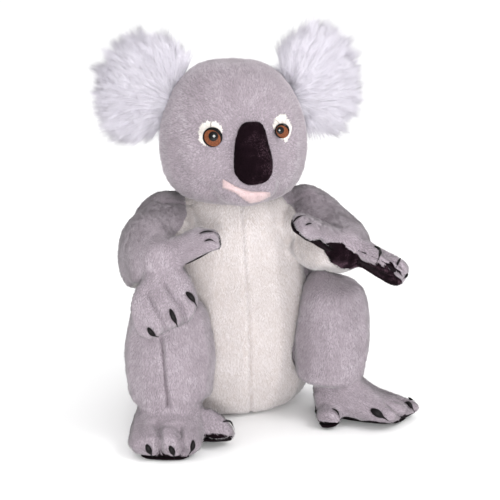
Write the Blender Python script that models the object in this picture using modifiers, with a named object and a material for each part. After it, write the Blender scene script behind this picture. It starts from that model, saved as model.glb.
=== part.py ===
"""A sitting plush koala, built as it is sewn.

The body is three fabric panels round stuffing and a pellet bag. The head is two panels round its own stuffing,
whose neck ball turns in the body. Ears, arms and legs are stuffed pieces with a ball end in a socket of the
piece that carries them, and hands and feet turn on a ball at the end of their limb.

Metres, +Z up. The koala faces -Y, its left side is +X, and the origin is on the floor under the seat.
"""

import math

import bmesh
import bpy
from mathutils import Matrix, Vector

# Cloth, gaps and cuts
FABRIC = 0.0030
SEAM_GAP = 0.0003
JOINT_GAP = 0.0009
PAD = 0.0030
OVERRUN = 0.020

# Body
TORSO_HEIGHT = 0.226
TORSO_WIDTH = 0.166
TORSO_DEPTH = 0.150
TORSO_SET_BACK = 0.008
SEAT_SQUASH = 0.002
PELLET_BAG_HEIGHT = 0.032
# Each section: height, width, depth and set back, as shares of the sizes above
TORSO_SHARES = (
    (0.000, 0.00, 0.00, 1.0),
    (0.004, 0.62, 0.60, 1.0),
    (0.070, 0.88, 0.86, 1.0),
    (0.240, 1.00, 0.99, 0.9),
    (0.440, 0.99, 0.99, 0.5),
    (0.640, 0.89, 0.90, 0.2),
    (0.820, 0.74, 0.80, 0.0),
    (0.940, 0.50, 0.55, 0.0),
    (1.000, 0.00, 0.00, 0.0),
)
# The belly's side seams start in the neck's hole and spread forward, further at the seat
BELLY_BACK_EDGE = 0.012
BELLY_FRONT_EDGE = 0.120
BELLY_BACK_WIDTH_TOP = 0.004
BELLY_BACK_WIDTH_BOTTOM = 0.110
BELLY_WIDTH_TOP = 0.220
BELLY_WIDTH_BOTTOM = 0.800

# Head
HEAD_HEIGHT = 0.129
HEAD_WIDTH = 0.134
HEAD_DEPTH = 0.120
HEAD_FORWARD = 0.029
HEAD_SINK = 0.030
HEAD_SHARES = (
    (0.00, 0.00, 0.00, 1.0),
    (0.03, 0.56, 0.60, 1.0),
    (0.14, 0.88, 0.89, 1.0),
    (0.34, 1.00, 1.00, 1.0),
    (0.57, 0.97, 0.98, 0.9),
    (0.79, 0.79, 0.82, 0.8),
    (0.94, 0.48, 0.51, 0.8),
    (1.00, 0.00, 0.00, 0.8),
)
MUZZLE_WIDTH = 0.062
MUZZLE_DEPTH = 0.040
MUZZLE_HEIGHT = 0.042
MUZZLE_FORWARD_SHARE = 0.80
MUZZLE_HEIGHT_SHARE = 0.20
FACE_BACK_EDGE = 0.010

# Nose and mouth
NOSE_HEIGHT = 0.055
NOSE_WIDTH = 0.035
NOSE_DEPTH = 0.020
NOSE_HEIGHT_SHARE = 0.435
NOSE_FORWARD_SHARE = 0.955
NOSE_SLOPE = math.radians(8)
NOSE_SHARES = (
    (0.00, 0.00, 0.00),
    (0.10, 0.78, 0.80),
    (0.32, 1.00, 1.00),
    (0.62, 0.84, 0.95),
    (0.90, 0.58, 0.72),
    (1.00, 0.00, 0.00),
)
MOUTH_WIDTH = 0.040
MOUTH_HEIGHT = 0.026
MOUTH_DOWN = math.radians(22)

# Eyes
EYE_RADIUS = 0.0088
EYE_HEIGHT_SHARE = 0.545
EYE_AZIMUTH = math.radians(27)
EYE_SINK_SHARE = 0.45
EYE_STEM_RADIUS = 0.0020
EYE_STEM_LENGTH = 0.016
WASHER_RADIUS = 0.0070
WASHER_THICKNESS = 0.0020
WASHER_CLEARANCE = 0.0005
WASHER_SINK = 0.0062
PATCH_WIDTH = 0.024
PATCH_HEIGHT = 0.023
FELT = 0.0012
PATCH_REACH = 0.008

# Neck
NECK_SINK = 0.023
NECK_RADIUS = 0.026
NECK_TURN = math.radians(10)
NECK_CLEARANCE = 0.0016

# Ears
EAR_LENGTH = 0.106
EAR_REACH = 0.088
EAR_THICKNESS = 0.027
EAR_OUT = 0.057
EAR_FORWARD = 0.010
EAR_HEIGHT_SHARE = 0.69
EAR_LEAN = math.radians(28)
EAR_RADIUS = 0.013
EAR_FOLD = math.radians(10)
# Each section: place along the seam, middle outward, half reach and half thickness
EAR_SHARES = (
    (-0.50, 0.42, 0.00, 0.00),
    (-0.38, 0.42, 0.27, 0.36),
    (-0.18, 0.37, 0.47, 0.48),
    (0.05, 0.38, 0.51, 0.50),
    (0.28, 0.37, 0.45, 0.47),
    (0.42, 0.36, 0.28, 0.36),
    (0.51, 0.38, 0.00, 0.00),
)

# Arms
SHOULDER_OUT = 0.058
SHOULDER_FORWARD = 0.005
SHOULDER_DROP = 0.043
SHOULDER_RADIUS = 0.023
SHOULDER_LIFT = math.radians(15)
SHOULDER_TILT = math.radians(30)
ARM_THICKNESS = 0.062
WRIST_RADIUS = 0.019
WRIST_LIFT = math.radians(15)
# Elbow and wrist from the shoulder: outward, forward and up
ARM_BENDS = {
    "right": {"elbow": (0.028, 0.043, -0.024), "wrist": (0.022, 0.093, -0.014)},
    "left": {"elbow": (0.031, 0.042, -0.024), "wrist": (0.020, 0.092, -0.012)},
}
# Each section: from shoulder to elbow (0 to 1) and on to the wrist (1 to 2), then thickness
ARM_SHARES = (
    (-0.30, 0.00, 0.00),
    (0.05, 0.88, 0.00),
    (0.50, 0.98, 0.30),
    (1.00, 0.97, 0.00),
    (1.50, 0.88, 0.04),
    (1.95, 0.70, 0.00),
    (2.25, 0.00, 0.00),
)

# Hands: each lobe runs from the wrist to its tip, given outward, forward and up from the wrist
LOBE_LENGTH_START_SHARE = 0.10
THUMB_WIDTH = 0.033
THUMB_THICKNESS = 0.021
FINGER_WIDTH = 0.048
FINGER_THICKNESS = 0.024
GROOVE_WIDTH = 0.0035
GROOVE_LENGTH_SHARE = 0.40
GROOVE_DEPTH_SHARE = 0.52
HAND_LOBES = {
    "right": {
        "thumb": {"tip": (-0.046, 0.022, 0.020), "back": (0.10, 0.75, 0.66)},
        "finger": {"tip": (-0.008, 0.036, -0.050), "back": (0.15, 0.86, 0.50)},
    },
    "left": {
        "thumb": {"tip": (-0.050, 0.024, 0.026), "back": (-0.05, 0.55, 0.83)},
        "finger": {"tip": (0.047, 0.028, -0.026), "back": (0.20, -0.55, 0.80)},
    },
}
# Each section: place along the lobe, width and thickness
LOBE_SHARES = (
    (0.00, 0.00, 0.00),
    (0.10, 0.62, 0.90),
    (0.38, 0.90, 1.00),
    (0.70, 1.00, 0.95),
    (0.92, 0.78, 0.74),
    (1.00, 0.00, 0.00),
)
PALM_DEPTH_SHARE = 0.30
THUMB_CLAW_SHARES = (-0.24, 0.24)
FINGER_CLAW_SHARES = (-0.32, 0.0, 0.32)
CLAW_LENGTH = 0.013
CLAW_WIDTH = 0.0036
CLAW_HEIGHT = 0.0090
CLAW_PLACE_SHARE = 0.86
CLAW_TILT = math.radians(50)
CLAW_SEARCH = 0.040

# Legs
HIP_OUT = 0.060
HIP_FORWARD = 0.032
HIP_HEIGHT = 0.064
HIP_RADIUS = 0.025
HIP_SWING = math.radians(15)
LEG_POSES = {
    "right": {"reach": 0.0453, "splay": math.radians(13.4), "foot_turn": math.radians(1.6)},
    "left": {"reach": 0.0318, "splay": math.radians(43.4), "foot_turn": math.radians(16.6)},
}
FOOT_POSES = {
    "right": {"length": 0.083, "big_toe": 0.056, "big_toe_turn": math.radians(68)},
    "left": {"length": 0.094, "big_toe": 0.040, "big_toe_turn": math.radians(84)},
}
LEG_TOP = 0.131
LEG_BOTTOM = 0.020
LEG_WIDTH = 0.082
LEG_DEPTH = 0.074
LEG_SHARES = (
    (0.00, 0.00, 0.00),
    (0.12, 0.80, 0.82),
    (0.30, 0.95, 0.97),
    (0.52, 1.00, 1.00),
    (0.74, 0.90, 0.88),
    (0.92, 0.70, 0.70),
    (1.00, 0.00, 0.00),
)

# Feet
ANKLE_HEIGHT = 0.036
ANKLE_RADIUS = 0.020
ANKLE_TURN = math.radians(12)
FOOT_HEEL = 0.025
FOOT_WIDTH = 0.066
FOOT_HEIGHT = 0.044
FOOT_SQUASH = 0.0015
# Each section: place along the foot, width and height
FOOT_SHARES = (
    (0.00, 0.00, 0.00),
    (0.08, 0.66, 0.72),
    (0.28, 0.92, 1.00),
    (0.52, 0.98, 0.98),
    (0.74, 1.00, 0.76),
    (0.92, 0.84, 0.58),
    (1.00, 0.00, 0.00),
)
TOE_CLAW_SHARES = (-0.31, 0.0, 0.31)
TOE_MIDDLE = 0.010
TOE_GROOVE_LENGTH_SHARE = 0.26
TOE_GROOVE_DEPTH_SHARE = 0.62
BIG_TOE_WIDTH = 0.026
BIG_TOE_HEIGHT = 0.024
BIG_TOE_FORWARD = 0.002
BIG_TOE_START = 0.006
BIG_TOE_SHARES = (
    (0.00, 0.00, 0.00),
    (0.12, 0.86, 1.00),
    (0.50, 1.00, 1.00),
    (0.86, 0.86, 0.84),
    (1.00, 0.00, 0.00),
)

# Detail of the round pieces
BODY_SIDES = 8
LIMB_SIDES = 6
SMALL_SIDES = 6
BALL_SEGMENTS = 12
BALL_RINGS = 8
OVAL_SEGMENTS = 6
OVAL_RINGS = 4
ROD_SIDES = 8
CAGE_PASSES = 10

WORLD_AXES = ((1, 0, 0), (0, 1, 0), (0, 0, 1))
UP = Vector((0, 0, 1))
FORWARD = Vector((0, -1, 0))
SIGNS = {"right": -1, "left": 1}
# Across the forearms; a positive turn lifts a hand
WRIST_AXIS = Vector((-1, 0, 0))

# Colours, linear RGB
GREY_PLUSH = (0.40, 0.38, 0.42)
CREAM_PLUSH = (0.78, 0.72, 0.66)
EAR_FUR = (0.72, 0.69, 0.78)
BLACK_VELVET = (0.012, 0.008, 0.012)
PINK_PLUSH = (0.76, 0.60, 0.60)
WHITE_FELT = (0.82, 0.80, 0.76)
AMBER = (0.33, 0.09, 0.02)
STUFFING = (0.85, 0.85, 0.83)
PELLET_CLOTH = (0.55, 0.52, 0.46)
WASHER_WHITE = (0.75, 0.75, 0.73)


def clear_scene():
    for thing in list(bpy.data.objects):
        bpy.data.objects.remove(thing, do_unlink=True)


def new_collection(name):
    group = bpy.data.collections.new(name)
    bpy.context.scene.collection.children.link(group)
    return group


clear_scene()
PARTS = new_collection("plush_koala")
CUTTERS = new_collection("cutters")


def material(name, colour, roughness=0.95, metallic=0.0):
    made = bpy.data.materials.get(name)
    if made is None:
        made = bpy.data.materials.new(name)
        made.use_nodes = True
        shader = made.node_tree.nodes["Principled BSDF"]
        shader.inputs["Base Color"].default_value = (*colour, 1.0)
        shader.inputs["Roughness"].default_value = roughness
        shader.inputs["Metallic"].default_value = metallic
    return made


def new_form(name, shape, flat=True):
    """A form from a worked shape, kept with the cutters until it is shown."""
    mesh = bpy.data.meshes.new(name)
    if flat:
        bmesh.ops.triangulate(shape, faces=shape.faces)
    shape.to_mesh(mesh)
    shape.free()
    made = bpy.data.objects.new(name, mesh)
    CUTTERS.objects.link(made)
    made.hide_render = True
    made.display_type = "WIRE"
    return made


def show(piece, stuff):
    """Turns a form into a piece of the koala, with its own material."""
    CUTTERS.objects.unlink(piece)
    PARTS.objects.link(piece)
    piece.hide_render = False
    piece.display_type = "SOLID"
    piece.data.materials.clear()
    piece.data.materials.append(stuff)
    piece.data.shade_smooth()
    return piece


def in_triangles(piece):
    """Splits every face into flat ones, so that the next cut finds them as they were left."""
    step = piece.modifiers.new("triangles", "TRIANGULATE")
    step.quad_method = "FIXED"
    return piece


def boolean(piece, other, operation):
    """Cuts or joins two closed forms; the Exact solver loses whole forms where smoothed ones meet like these."""
    step = piece.modifiers.new(f"{operation.lower()}_{other.name}", "BOOLEAN")
    step.operation = operation
    step.object = other
    step.solver = "MANIFOLD"
    return piece


def cut(piece, *others):
    for other in others:
        boolean(piece, other, "DIFFERENCE")
    return piece


def keep_inside(piece, other):
    return boolean(piece, other, "INTERSECT")


def join(piece, other):
    return boolean(piece, other, "UNION")


def settled(piece):
    """Gives a form the mesh that its modifiers make, so that copies of it can be turned."""
    bpy.context.view_layer.update()
    seen = piece.evaluated_get(bpy.context.evaluated_depsgraph_get())
    piece.data = bpy.data.meshes.new_from_object(seen)
    piece.modifiers.clear()
    return piece


def turned_copy(form, pivot, axis, angle):
    made = form.copy()
    CUTTERS.objects.link(made)
    move = Matrix.Translation(pivot) @ Matrix.Rotation(angle, 4, axis) @ Matrix.Translation(-pivot)
    made.matrix_world = move @ form.matrix_world
    return made


def pivot_at(name, place, parent=None):
    """An empty on a joint's axis, which carries the pieces that turn there."""
    made = bpy.data.objects.new(name, None)
    PARTS.objects.link(made)
    made.location = place
    if parent is not None:
        hang(made, parent)
    bpy.context.view_layer.update()
    return made


def hang(piece, pivot):
    """Parents a piece to a pivot and leaves it where it is."""
    bpy.context.view_layer.update()
    piece.parent = pivot
    piece.matrix_parent_inverse = pivot.matrix_world.inverted()
    return piece


def through_sections(sections):
    """Pushes a cage's rows out until its smoothed surface passes through the sections."""
    cage = [list(row) for row in sections]
    for _ in range(CAGE_PASSES):
        last = [list(row) for row in cage]
        for i in range(1, len(cage) - 1):
            for k, wanted in enumerate(sections[i]):
                smooth = (last[i - 1][k] + 4 * last[i][k] + last[i + 1][k]) / 6
                cage[i][k] += wanted - smooth
    return cage


def soft_form(name, stations, side, sides=SMALL_SIDES, grow=0.0):
    """A stuffed form: a sphere's rings drawn to the stations and smoothed.

    A station is a centre, a half width along side and a half depth square to it. The first and last are poles.
    """
    start = stations[0][0] - stations[1][0]
    end = stations[-1][0] - stations[-2][0]
    grown = [(centre, width + grow, depth + grow) for centre, width, depth in stations]
    grown[0] = (stations[0][0] + start.normalized() * grow, 0, 0)
    grown[-1] = (stations[-1][0] + end.normalized() * grow, 0, 0)
    rows = through_sections([(*centre, width, depth) for centre, width, depth in grown])
    ring_share = (4 + 2 * math.cos(2 * math.pi / sides)) / 6
    shape = bmesh.new()
    count = len(rows) - 1
    bmesh.ops.create_uvsphere(shape, u_segments=sides, v_segments=count, radius=1)
    centres = [Vector(row[:3]) for row in rows]
    for corner in shape.verts:
        row = round((1 - math.acos(max(-1, min(1, corner.co.z))) / math.pi) * count)
        before = centres[max(row - 1, 0)]
        after = centres[min(row + 1, count)]
        along = (after - before).normalized()
        across = (side - along * side.dot(along)).normalized()
        square = along.cross(across)
        angle = math.atan2(corner.co.y, corner.co.x)
        width = rows[row][3] / ring_share * math.cos(angle)
        depth = rows[row][4] / ring_share * math.sin(angle)
        pole = row in (0, count)
        corner.co = centres[row] if pole else centres[row] + across * width + square * depth
    made = new_form(name, shape, False)
    soften = made.modifiers.new("smooth", "SUBSURF")
    soften.levels = 1
    soften.render_levels = 1
    return in_triangles(made)


def ball(name, centre, radius, segments=BALL_SEGMENTS, rings=BALL_RINGS, axis=UP):
    """A ball with its poles on an axis, so that one turned about that axis keeps clear of its socket."""
    shape = bmesh.new()
    bmesh.ops.create_uvsphere(shape, u_segments=segments, v_segments=rings, radius=radius)
    turn = UP.rotation_difference(axis).to_matrix().to_4x4()
    bmesh.ops.transform(shape, matrix=Matrix.Translation(centre) @ turn, verts=shape.verts)
    return new_form(name, shape)


def oval(name, centre, half_sizes, axes, segments=OVAL_SEGMENTS, rings=OVAL_RINGS):
    """A ball squashed to three half sizes along three axes."""
    made = ball(name, Vector(), 1, segments, rings)
    turn = Matrix(axes).transposed().to_4x4()
    stretch = Matrix.Diagonal((*half_sizes, 1))
    made.data.transform(Matrix.Translation(centre) @ turn @ stretch)
    return made


def box(name, low, high, turn=None, about=None):
    """A box between two corners, turned about a point if that is given."""
    shape = bmesh.new()
    bmesh.ops.create_cube(shape, size=1)
    low, high = Vector(low), Vector(high)
    bmesh.ops.scale(shape, verts=shape.verts, vec=high - low)
    bmesh.ops.translate(shape, verts=shape.verts, vec=(low + high) / 2)
    if turn is not None:
        bmesh.ops.transform(shape, matrix=Matrix.Translation(about) @ turn.to_4x4(), verts=shape.verts)
    return new_form(name, shape)


def rod(name, start, end, radius, segments=ROD_SIDES):
    """A round bar from one point to another."""
    shape = bmesh.new()
    length = (end - start).length
    bmesh.ops.create_cone(
        shape, cap_ends=True, segments=segments, radius1=radius, radius2=radius, depth=length
    )
    turn = (end - start).to_track_quat("Z", "Y").to_matrix().to_4x4()
    bmesh.ops.transform(shape, matrix=Matrix.Translation((start + end) / 2) @ turn, verts=shape.verts)
    return new_form(name, shape)


def mirrored(place, sign):
    """Outward, forward and up from a joint, as a vector in the koala's frame."""
    outward, forward, up = place
    return Vector((sign * outward, -forward, up))


def axes_from(along, back):
    """A lobe's own axes: across, along and out of its back."""
    along = along.normalized()
    back = (back - along * back.dot(along)).normalized()
    return along.cross(back), along, back


# Body

def torso_form(name, grow=0.0):
    rows = []
    for height, width, depth, set_back in TORSO_SHARES:
        z = height * (TORSO_HEIGHT + SEAT_SQUASH) - SEAT_SQUASH
        centre = Vector((0, TORSO_SET_BACK * set_back, z))
        rows.append((centre, width * TORSO_WIDTH / 2, depth * TORSO_DEPTH / 2))
    return soft_form(name, rows, Vector((1, 0, 0)), BODY_SIDES, grow)


def floor_cut(name, height):
    """All that lies below a height."""
    reach = TORSO_WIDTH + TORSO_DEPTH
    return box(name, (-reach, -reach, -OVERRUN), (reach, reach, height))


def belly_wedge(name, gap, middle=None):
    """The space in front of the belly's side seams, or its left part from a middle line on."""
    shape = bmesh.new()
    bmesh.ops.create_cube(shape, size=1)
    for corner in shape.verts:
        front, top, left = corner.co.y < 0, corner.co.z > 0, corner.co.x > 0
        if front:
            width = BELLY_WIDTH_TOP if top else BELLY_WIDTH_BOTTOM
        else:
            width = BELLY_BACK_WIDTH_TOP if top else BELLY_BACK_WIDTH_BOTTOM
        seam = width / 2 + gap
        corner.co.y = -BELLY_FRONT_EDGE if front else gap - BELLY_BACK_EDGE
        corner.co.z = TORSO_HEIGHT + OVERRUN if top else -OVERRUN
        corner.co.x = seam if left else (-seam if middle is None else middle)
    return new_form(name, shape)


def flip(form):
    """Mirrors a form to the koala's right side."""
    form.data.transform(Matrix.Diagonal((-1, 1, 1, 1)))
    form.data.flip_normals()
    return form


def build_body(sockets):
    floor = floor_cut("below_floor", 0)
    lining_floor = floor_cut("below_lining", FABRIC)
    stuffing_floor = floor_cut("below_stuffing", FABRIC + SEAM_GAP)
    lining = cut(torso_form("torso_lining", -FABRIC), lining_floor)
    grey = material("grey_plush", GREY_PLUSH)
    cream = material("cream_plush", CREAM_PLUSH)

    back = torso_form("torso_back_panel")
    cut(back, belly_wedge("belly_space", SEAM_GAP), floor, lining, *sockets)
    show(back, grey)

    for side in SIGNS:
        wedge = belly_wedge(f"belly_{side}_space", 0, SEAM_GAP / 2)
        if side == "right":
            flip(wedge)
        panel = torso_form(f"belly_{side}_panel")
        keep_inside(panel, wedge)
        cut(panel, floor, lining, *sockets)
        show(panel, cream)

    inset = -(FABRIC + SEAM_GAP)
    bag_top = floor_cut("below_stuffing_seat", PELLET_BAG_HEIGHT + SEAM_GAP)
    stuffing = torso_form("torso_stuffing", inset)
    cut(stuffing, bag_top, *sockets)
    show(stuffing, material("stuffing", STUFFING))

    bag_space = floor_cut("bag_space", PELLET_BAG_HEIGHT)
    bag = torso_form("seat_pellet_bag", inset)
    cut(bag, stuffing_floor)
    keep_inside(bag, bag_space)
    show(bag, material("pellet_cloth", PELLET_CLOTH))


# Head

HEAD_BOTTOM = TORSO_HEIGHT - HEAD_SINK
NECK = Vector((0, 0, TORSO_HEIGHT - NECK_SINK))


def head_form(name, grow=0.0):
    rows = []
    for height, width, depth, forward in HEAD_SHARES:
        centre = Vector((0, -HEAD_FORWARD * forward, HEAD_BOTTOM + height * HEAD_HEIGHT))
        rows.append((centre, width * HEAD_WIDTH / 2, depth * HEAD_DEPTH / 2))
    return soft_form(name, rows, Vector((1, 0, 0)), BODY_SIDES, grow)


def muzzle_place():
    forward = HEAD_FORWARD + MUZZLE_FORWARD_SHARE * HEAD_DEPTH / 2
    return Vector((0, -forward, HEAD_BOTTOM + MUZZLE_HEIGHT_SHARE * HEAD_HEIGHT))


def muzzle(name, grow=0.0):
    half = (MUZZLE_WIDTH / 2 + grow, MUZZLE_DEPTH / 2 + grow, MUZZLE_HEIGHT / 2 + grow)
    return oval(name, muzzle_place(), half, WORLD_AXES, BALL_SEGMENTS, BALL_RINGS)


def face_form(name, grow=0.0):
    """The head with its muzzle, as one form."""
    return settled(join(head_form(name, grow), muzzle(f"{name}_muzzle", grow)))


def head_surface(form, height, azimuth):
    """The point and the outward direction of the head's surface at a height and azimuth."""
    middle = Vector((0, -HEAD_FORWARD, height))
    out = Vector((math.sin(azimuth), -math.cos(azimuth), 0))
    start = middle + out * HEAD_DEPTH
    _, place, normal, _ = form.ray_cast(start, -out)
    return place, normal


def nose_stations():
    middle = HEAD_BOTTOM + NOSE_HEIGHT_SHARE * HEAD_HEIGHT
    forward = HEAD_FORWARD + NOSE_FORWARD_SHARE * HEAD_DEPTH / 2
    rows = []
    for height, width, depth in NOSE_SHARES:
        rise = (height - 0.5) * NOSE_HEIGHT
        centre = Vector((0, -forward + rise * math.sin(NOSE_SLOPE), middle + rise * math.cos(NOSE_SLOPE)))
        rows.append((centre, width * NOSE_WIDTH / 2, depth * NOSE_DEPTH / 2))
    return rows


def felt_patch(name, place, axes, width, height, clear_face):
    """A thin patch that follows the face, cut to an oval."""
    patch = settled(face_form(name, SEAM_GAP + FELT))
    keep_inside(patch, oval(f"{name}_outline", place, (width / 2, PATCH_REACH, height / 2), axes, BALL_SEGMENTS))
    return cut(patch, clear_face)


def build_eye(side, clear_face, face_holes):
    """A domed eye on its stem, the felt patch round it and the washer that locks the stem inside."""
    sign = SIGNS[side]
    height = HEAD_BOTTOM + EYE_HEIGHT_SHARE * HEAD_HEIGHT
    place, out = head_surface(clear_face, height, sign * EYE_AZIMUTH)
    across = out.cross(UP).normalized()
    rise = across.cross(out)
    axes = (across, out, rise)
    middle = place - out * EYE_SINK_SHARE * EYE_RADIUS
    stem_end = place - out * EYE_STEM_LENGTH

    patch = felt_patch(f"{side}_eye_patch", place, axes, PATCH_WIDTH, PATCH_HEIGHT, clear_face)
    cut(patch, ball(f"{side}_eye_hole", middle, EYE_RADIUS + SEAM_GAP))
    show(patch, material("white_felt", WHITE_FELT))

    eye = cut(ball(f"{side}_eye", middle, EYE_RADIUS), clear_face)
    join(eye, rod(f"{side}_eye_stem", place + out * EYE_STEM_RADIUS, stem_end, EYE_STEM_RADIUS))
    show(eye, material("amber_glass", AMBER, 0.12))

    washer_face = place - out * WASHER_SINK
    washer_back = washer_face - out * WASHER_THICKNESS
    washer = rod(f"{side}_eye_washer", washer_face, washer_back, WASHER_RADIUS)
    bore = rod(f"{side}_washer_bore", place, stem_end, EYE_STEM_RADIUS + SEAM_GAP)
    show(cut(washer, bore), material("washer_white", WASHER_WHITE, 0.5))

    pocket_end = stem_end - out * WASHER_CLEARANCE
    pocket = rod(f"{side}_eye_pocket", place, pocket_end, WASHER_RADIUS + WASHER_CLEARANCE)
    hole_start = place + out * OVERRUN
    face_holes.append(rod(f"{side}_face_hole", hole_start, stem_end, EYE_STEM_RADIUS + SEAM_GAP))
    return [patch, eye, washer], pocket


def build_head(ear_sockets):
    pivot = pivot_at("neck", NECK)
    clear_face = face_form("face_clearance", SEAM_GAP)
    lining = head_form("head_lining", -FABRIC)
    grey = material("grey_plush", GREY_PLUSH)
    shoulders = torso_form("torso_top_clearance", NECK_CLEARANCE)
    neck_hole = ball("neck_hole", NECK, NECK_RADIUS + SEAM_GAP)
    seam = -HEAD_FORWARD + FACE_BACK_EDGE
    reach = HEAD_WIDTH + OVERRUN
    top = HEAD_BOTTOM + HEAD_HEIGHT + OVERRUN
    front = box("face_space", (-reach, -reach - HEAD_FORWARD, 0), (reach, seam, top))
    behind = box("head_back_space", (-reach, seam + SEAM_GAP, 0), (reach, reach, top))

    pieces = []
    holes = []
    pockets = []
    for side in SIGNS:
        made, pocket = build_eye(side, clear_face, holes)
        pieces += made
        pockets.append(pocket)

    face = join(head_form("face_panel"), muzzle("face_muzzle"))
    keep_inside(face, front)
    cut(face, lining, shoulders, neck_hole, *ear_sockets, *holes)
    pieces.append(show(face, grey))

    back = head_form("head_back_panel")
    keep_inside(back, behind)
    cut(back, lining, shoulders, neck_hole, *ear_sockets)
    pieces.append(show(back, grey))

    stuffing = head_form("head_stuffing", -(FABRIC + SEAM_GAP))
    cut(stuffing, shoulders, *ear_sockets, *pockets)
    join(stuffing, ball("neck_ball", NECK, NECK_RADIUS))
    pieces.append(show(stuffing, material("stuffing", STUFFING)))

    nose = soft_form("nose", nose_stations(), Vector((1, 0, 0)), SMALL_SIDES)
    nose_space = soft_form("nose_clearance", nose_stations(), Vector((1, 0, 0)), SMALL_SIDES, SEAM_GAP)
    pieces.append(show(cut(nose, clear_face), material("black_velvet", BLACK_VELVET)))

    out = Vector((0, -math.cos(MOUTH_DOWN), -math.sin(MOUTH_DOWN)))
    across = out.cross(UP).normalized()
    _, lip, _, _ = clear_face.ray_cast(muzzle_place() + out * HEAD_DEPTH, -out)
    axes = (across, out, across.cross(out))
    mouth = felt_patch("mouth_patch", lip, axes, MOUTH_WIDTH, MOUTH_HEIGHT, clear_face)
    pieces.append(show(cut(mouth, nose_space), material("pink_plush", PINK_PLUSH)))

    for piece in pieces:
        hang(piece, pivot)
    return pivot


# Ears

def ear_root(side):
    height = HEAD_BOTTOM + EAR_HEIGHT_SHARE * HEAD_HEIGHT
    return Vector((SIGNS[side] * EAR_OUT, -EAR_FORWARD, height))


def ear_axis(side):
    """Up along the seam that holds the ear to the head."""
    return Vector((-SIGNS[side] * math.sin(EAR_LEAN), 0, math.cos(EAR_LEAN)))


def ear_form(side, name, grow=0.0):
    along = ear_axis(side)
    outward = Vector((SIGNS[side] * math.cos(EAR_LEAN), 0, math.sin(EAR_LEAN)))
    rows = []
    for place, middle, reach, thickness in EAR_SHARES:
        centre = ear_root(side) + along * place * EAR_LENGTH + outward * middle * EAR_REACH
        rows.append((centre, reach * EAR_REACH, thickness * EAR_THICKNESS))
    return soft_form(name, rows, outward, LIMB_SIDES, grow)


def build_ear(side, clear_head, neck):
    pivot = pivot_at(f"{side}_ear_seam", ear_root(side), neck)
    ear = ear_form(side, f"{side}_ear")
    for angle in (-EAR_FOLD, EAR_FOLD):
        cut(ear, turned_copy(clear_head, ear_root(side), ear_axis(side), angle))
    join(ear, ball(f"{side}_ear_ball", ear_root(side), EAR_RADIUS, axis=ear_axis(side)))
    hang(show(ear, material("ear_fur", EAR_FUR)), pivot)


# Arms

def shoulder(side):
    return Vector((SIGNS[side] * SHOULDER_OUT, -SHOULDER_FORWARD, TORSO_HEIGHT - SHOULDER_DROP))


def wrist(side):
    return shoulder(side) + mirrored(ARM_BENDS[side]["wrist"], SIGNS[side])


def shoulder_axis(side):
    """A positive turn about it lifts the arm up and outward."""
    return Vector((-math.cos(SHOULDER_TILT), 0, SIGNS[side] * math.sin(SHOULDER_TILT)))


def arm_stations(side):
    bends = [shoulder(side)]
    bends.append(shoulder(side) + mirrored(ARM_BENDS[side]["elbow"], SIGNS[side]))
    bends.append(wrist(side))
    rows = []
    for place, thickness, bulge in ARM_SHARES:
        first = 1 if place >= 1 else 0
        centre = bends[first].lerp(bends[first + 1], place - first)
        centre = centre + UP * bulge * ARM_THICKNESS / 2
        rows.append((centre, thickness * ARM_THICKNESS / 2, thickness * ARM_THICKNESS / 2))
    return rows


def arm_form(side, name, grow=0.0):
    return soft_form(name, arm_stations(side), Vector((1, 0, 0)), LIMB_SIDES, grow)


def build_arm(side, clear_torso, clear_face):
    place = shoulder(side)
    pivot = pivot_at(f"{side}_shoulder", place)
    arm = arm_form(side, f"{side}_arm")
    for angle in (0, -SHOULDER_LIFT):
        cut(arm, turned_copy(clear_torso, place, shoulder_axis(side), angle))
    turned_head = turned_copy(clear_face, NECK, "Z", SIGNS[side] * NECK_TURN)
    cut(arm, turned_head, turned_copy(turned_head, place, shoulder_axis(side), -SHOULDER_LIFT))
    join(arm, ball(f"{side}_shoulder_ball", place, SHOULDER_RADIUS, axis=shoulder_axis(side)))
    join(arm, ball(f"{side}_wrist_ball", wrist(side), WRIST_RADIUS, axis=WRIST_AXIS))
    hang(show(arm, material("grey_plush", GREY_PLUSH)), pivot)
    return pivot


# Hands

def lobe_axes(side, kind):
    lobe = HAND_LOBES[side][kind]
    along = mirrored(lobe["tip"], SIGNS[side])
    return axes_from(along, mirrored(lobe["back"], SIGNS[side]))


def lobe_sizes(kind):
    return (THUMB_WIDTH, THUMB_THICKNESS) if kind == "thumb" else (FINGER_WIDTH, FINGER_THICKNESS)


def lobe_form(side, kind, name, grow=0.0):
    across, along, back = lobe_axes(side, kind)
    width, thickness = lobe_sizes(kind)
    reach = mirrored(HAND_LOBES[side][kind]["tip"], SIGNS[side])
    rows = []
    for place, wide, thick in LOBE_SHARES:
        share = LOBE_LENGTH_START_SHARE + place * (1 - LOBE_LENGTH_START_SHARE)
        rows.append((wrist(side) + reach * share, wide * width / 2, thick * thickness / 2))
    return soft_form(name, rows, across, SMALL_SIDES, grow)


def palm_space(side, kind, name, gap):
    """All that lies on the palm side of a lobe, up to the pad's face."""
    across, along, back = lobe_axes(side, kind)
    width, thickness = lobe_sizes(kind)
    reach = width + FINGER_WIDTH + OVERRUN
    high = -thickness / 2 + PALM_DEPTH_SHARE * thickness + gap
    turn = Matrix((across, along, back)).transposed()
    return box(name, (-reach, -reach, -reach), (reach, reach, high), turn, wrist(side) + lobe_offset(side, kind))


def lobe_offset(side, kind):
    return mirrored(HAND_LOBES[side][kind]["tip"], SIGNS[side]) / 2


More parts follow.
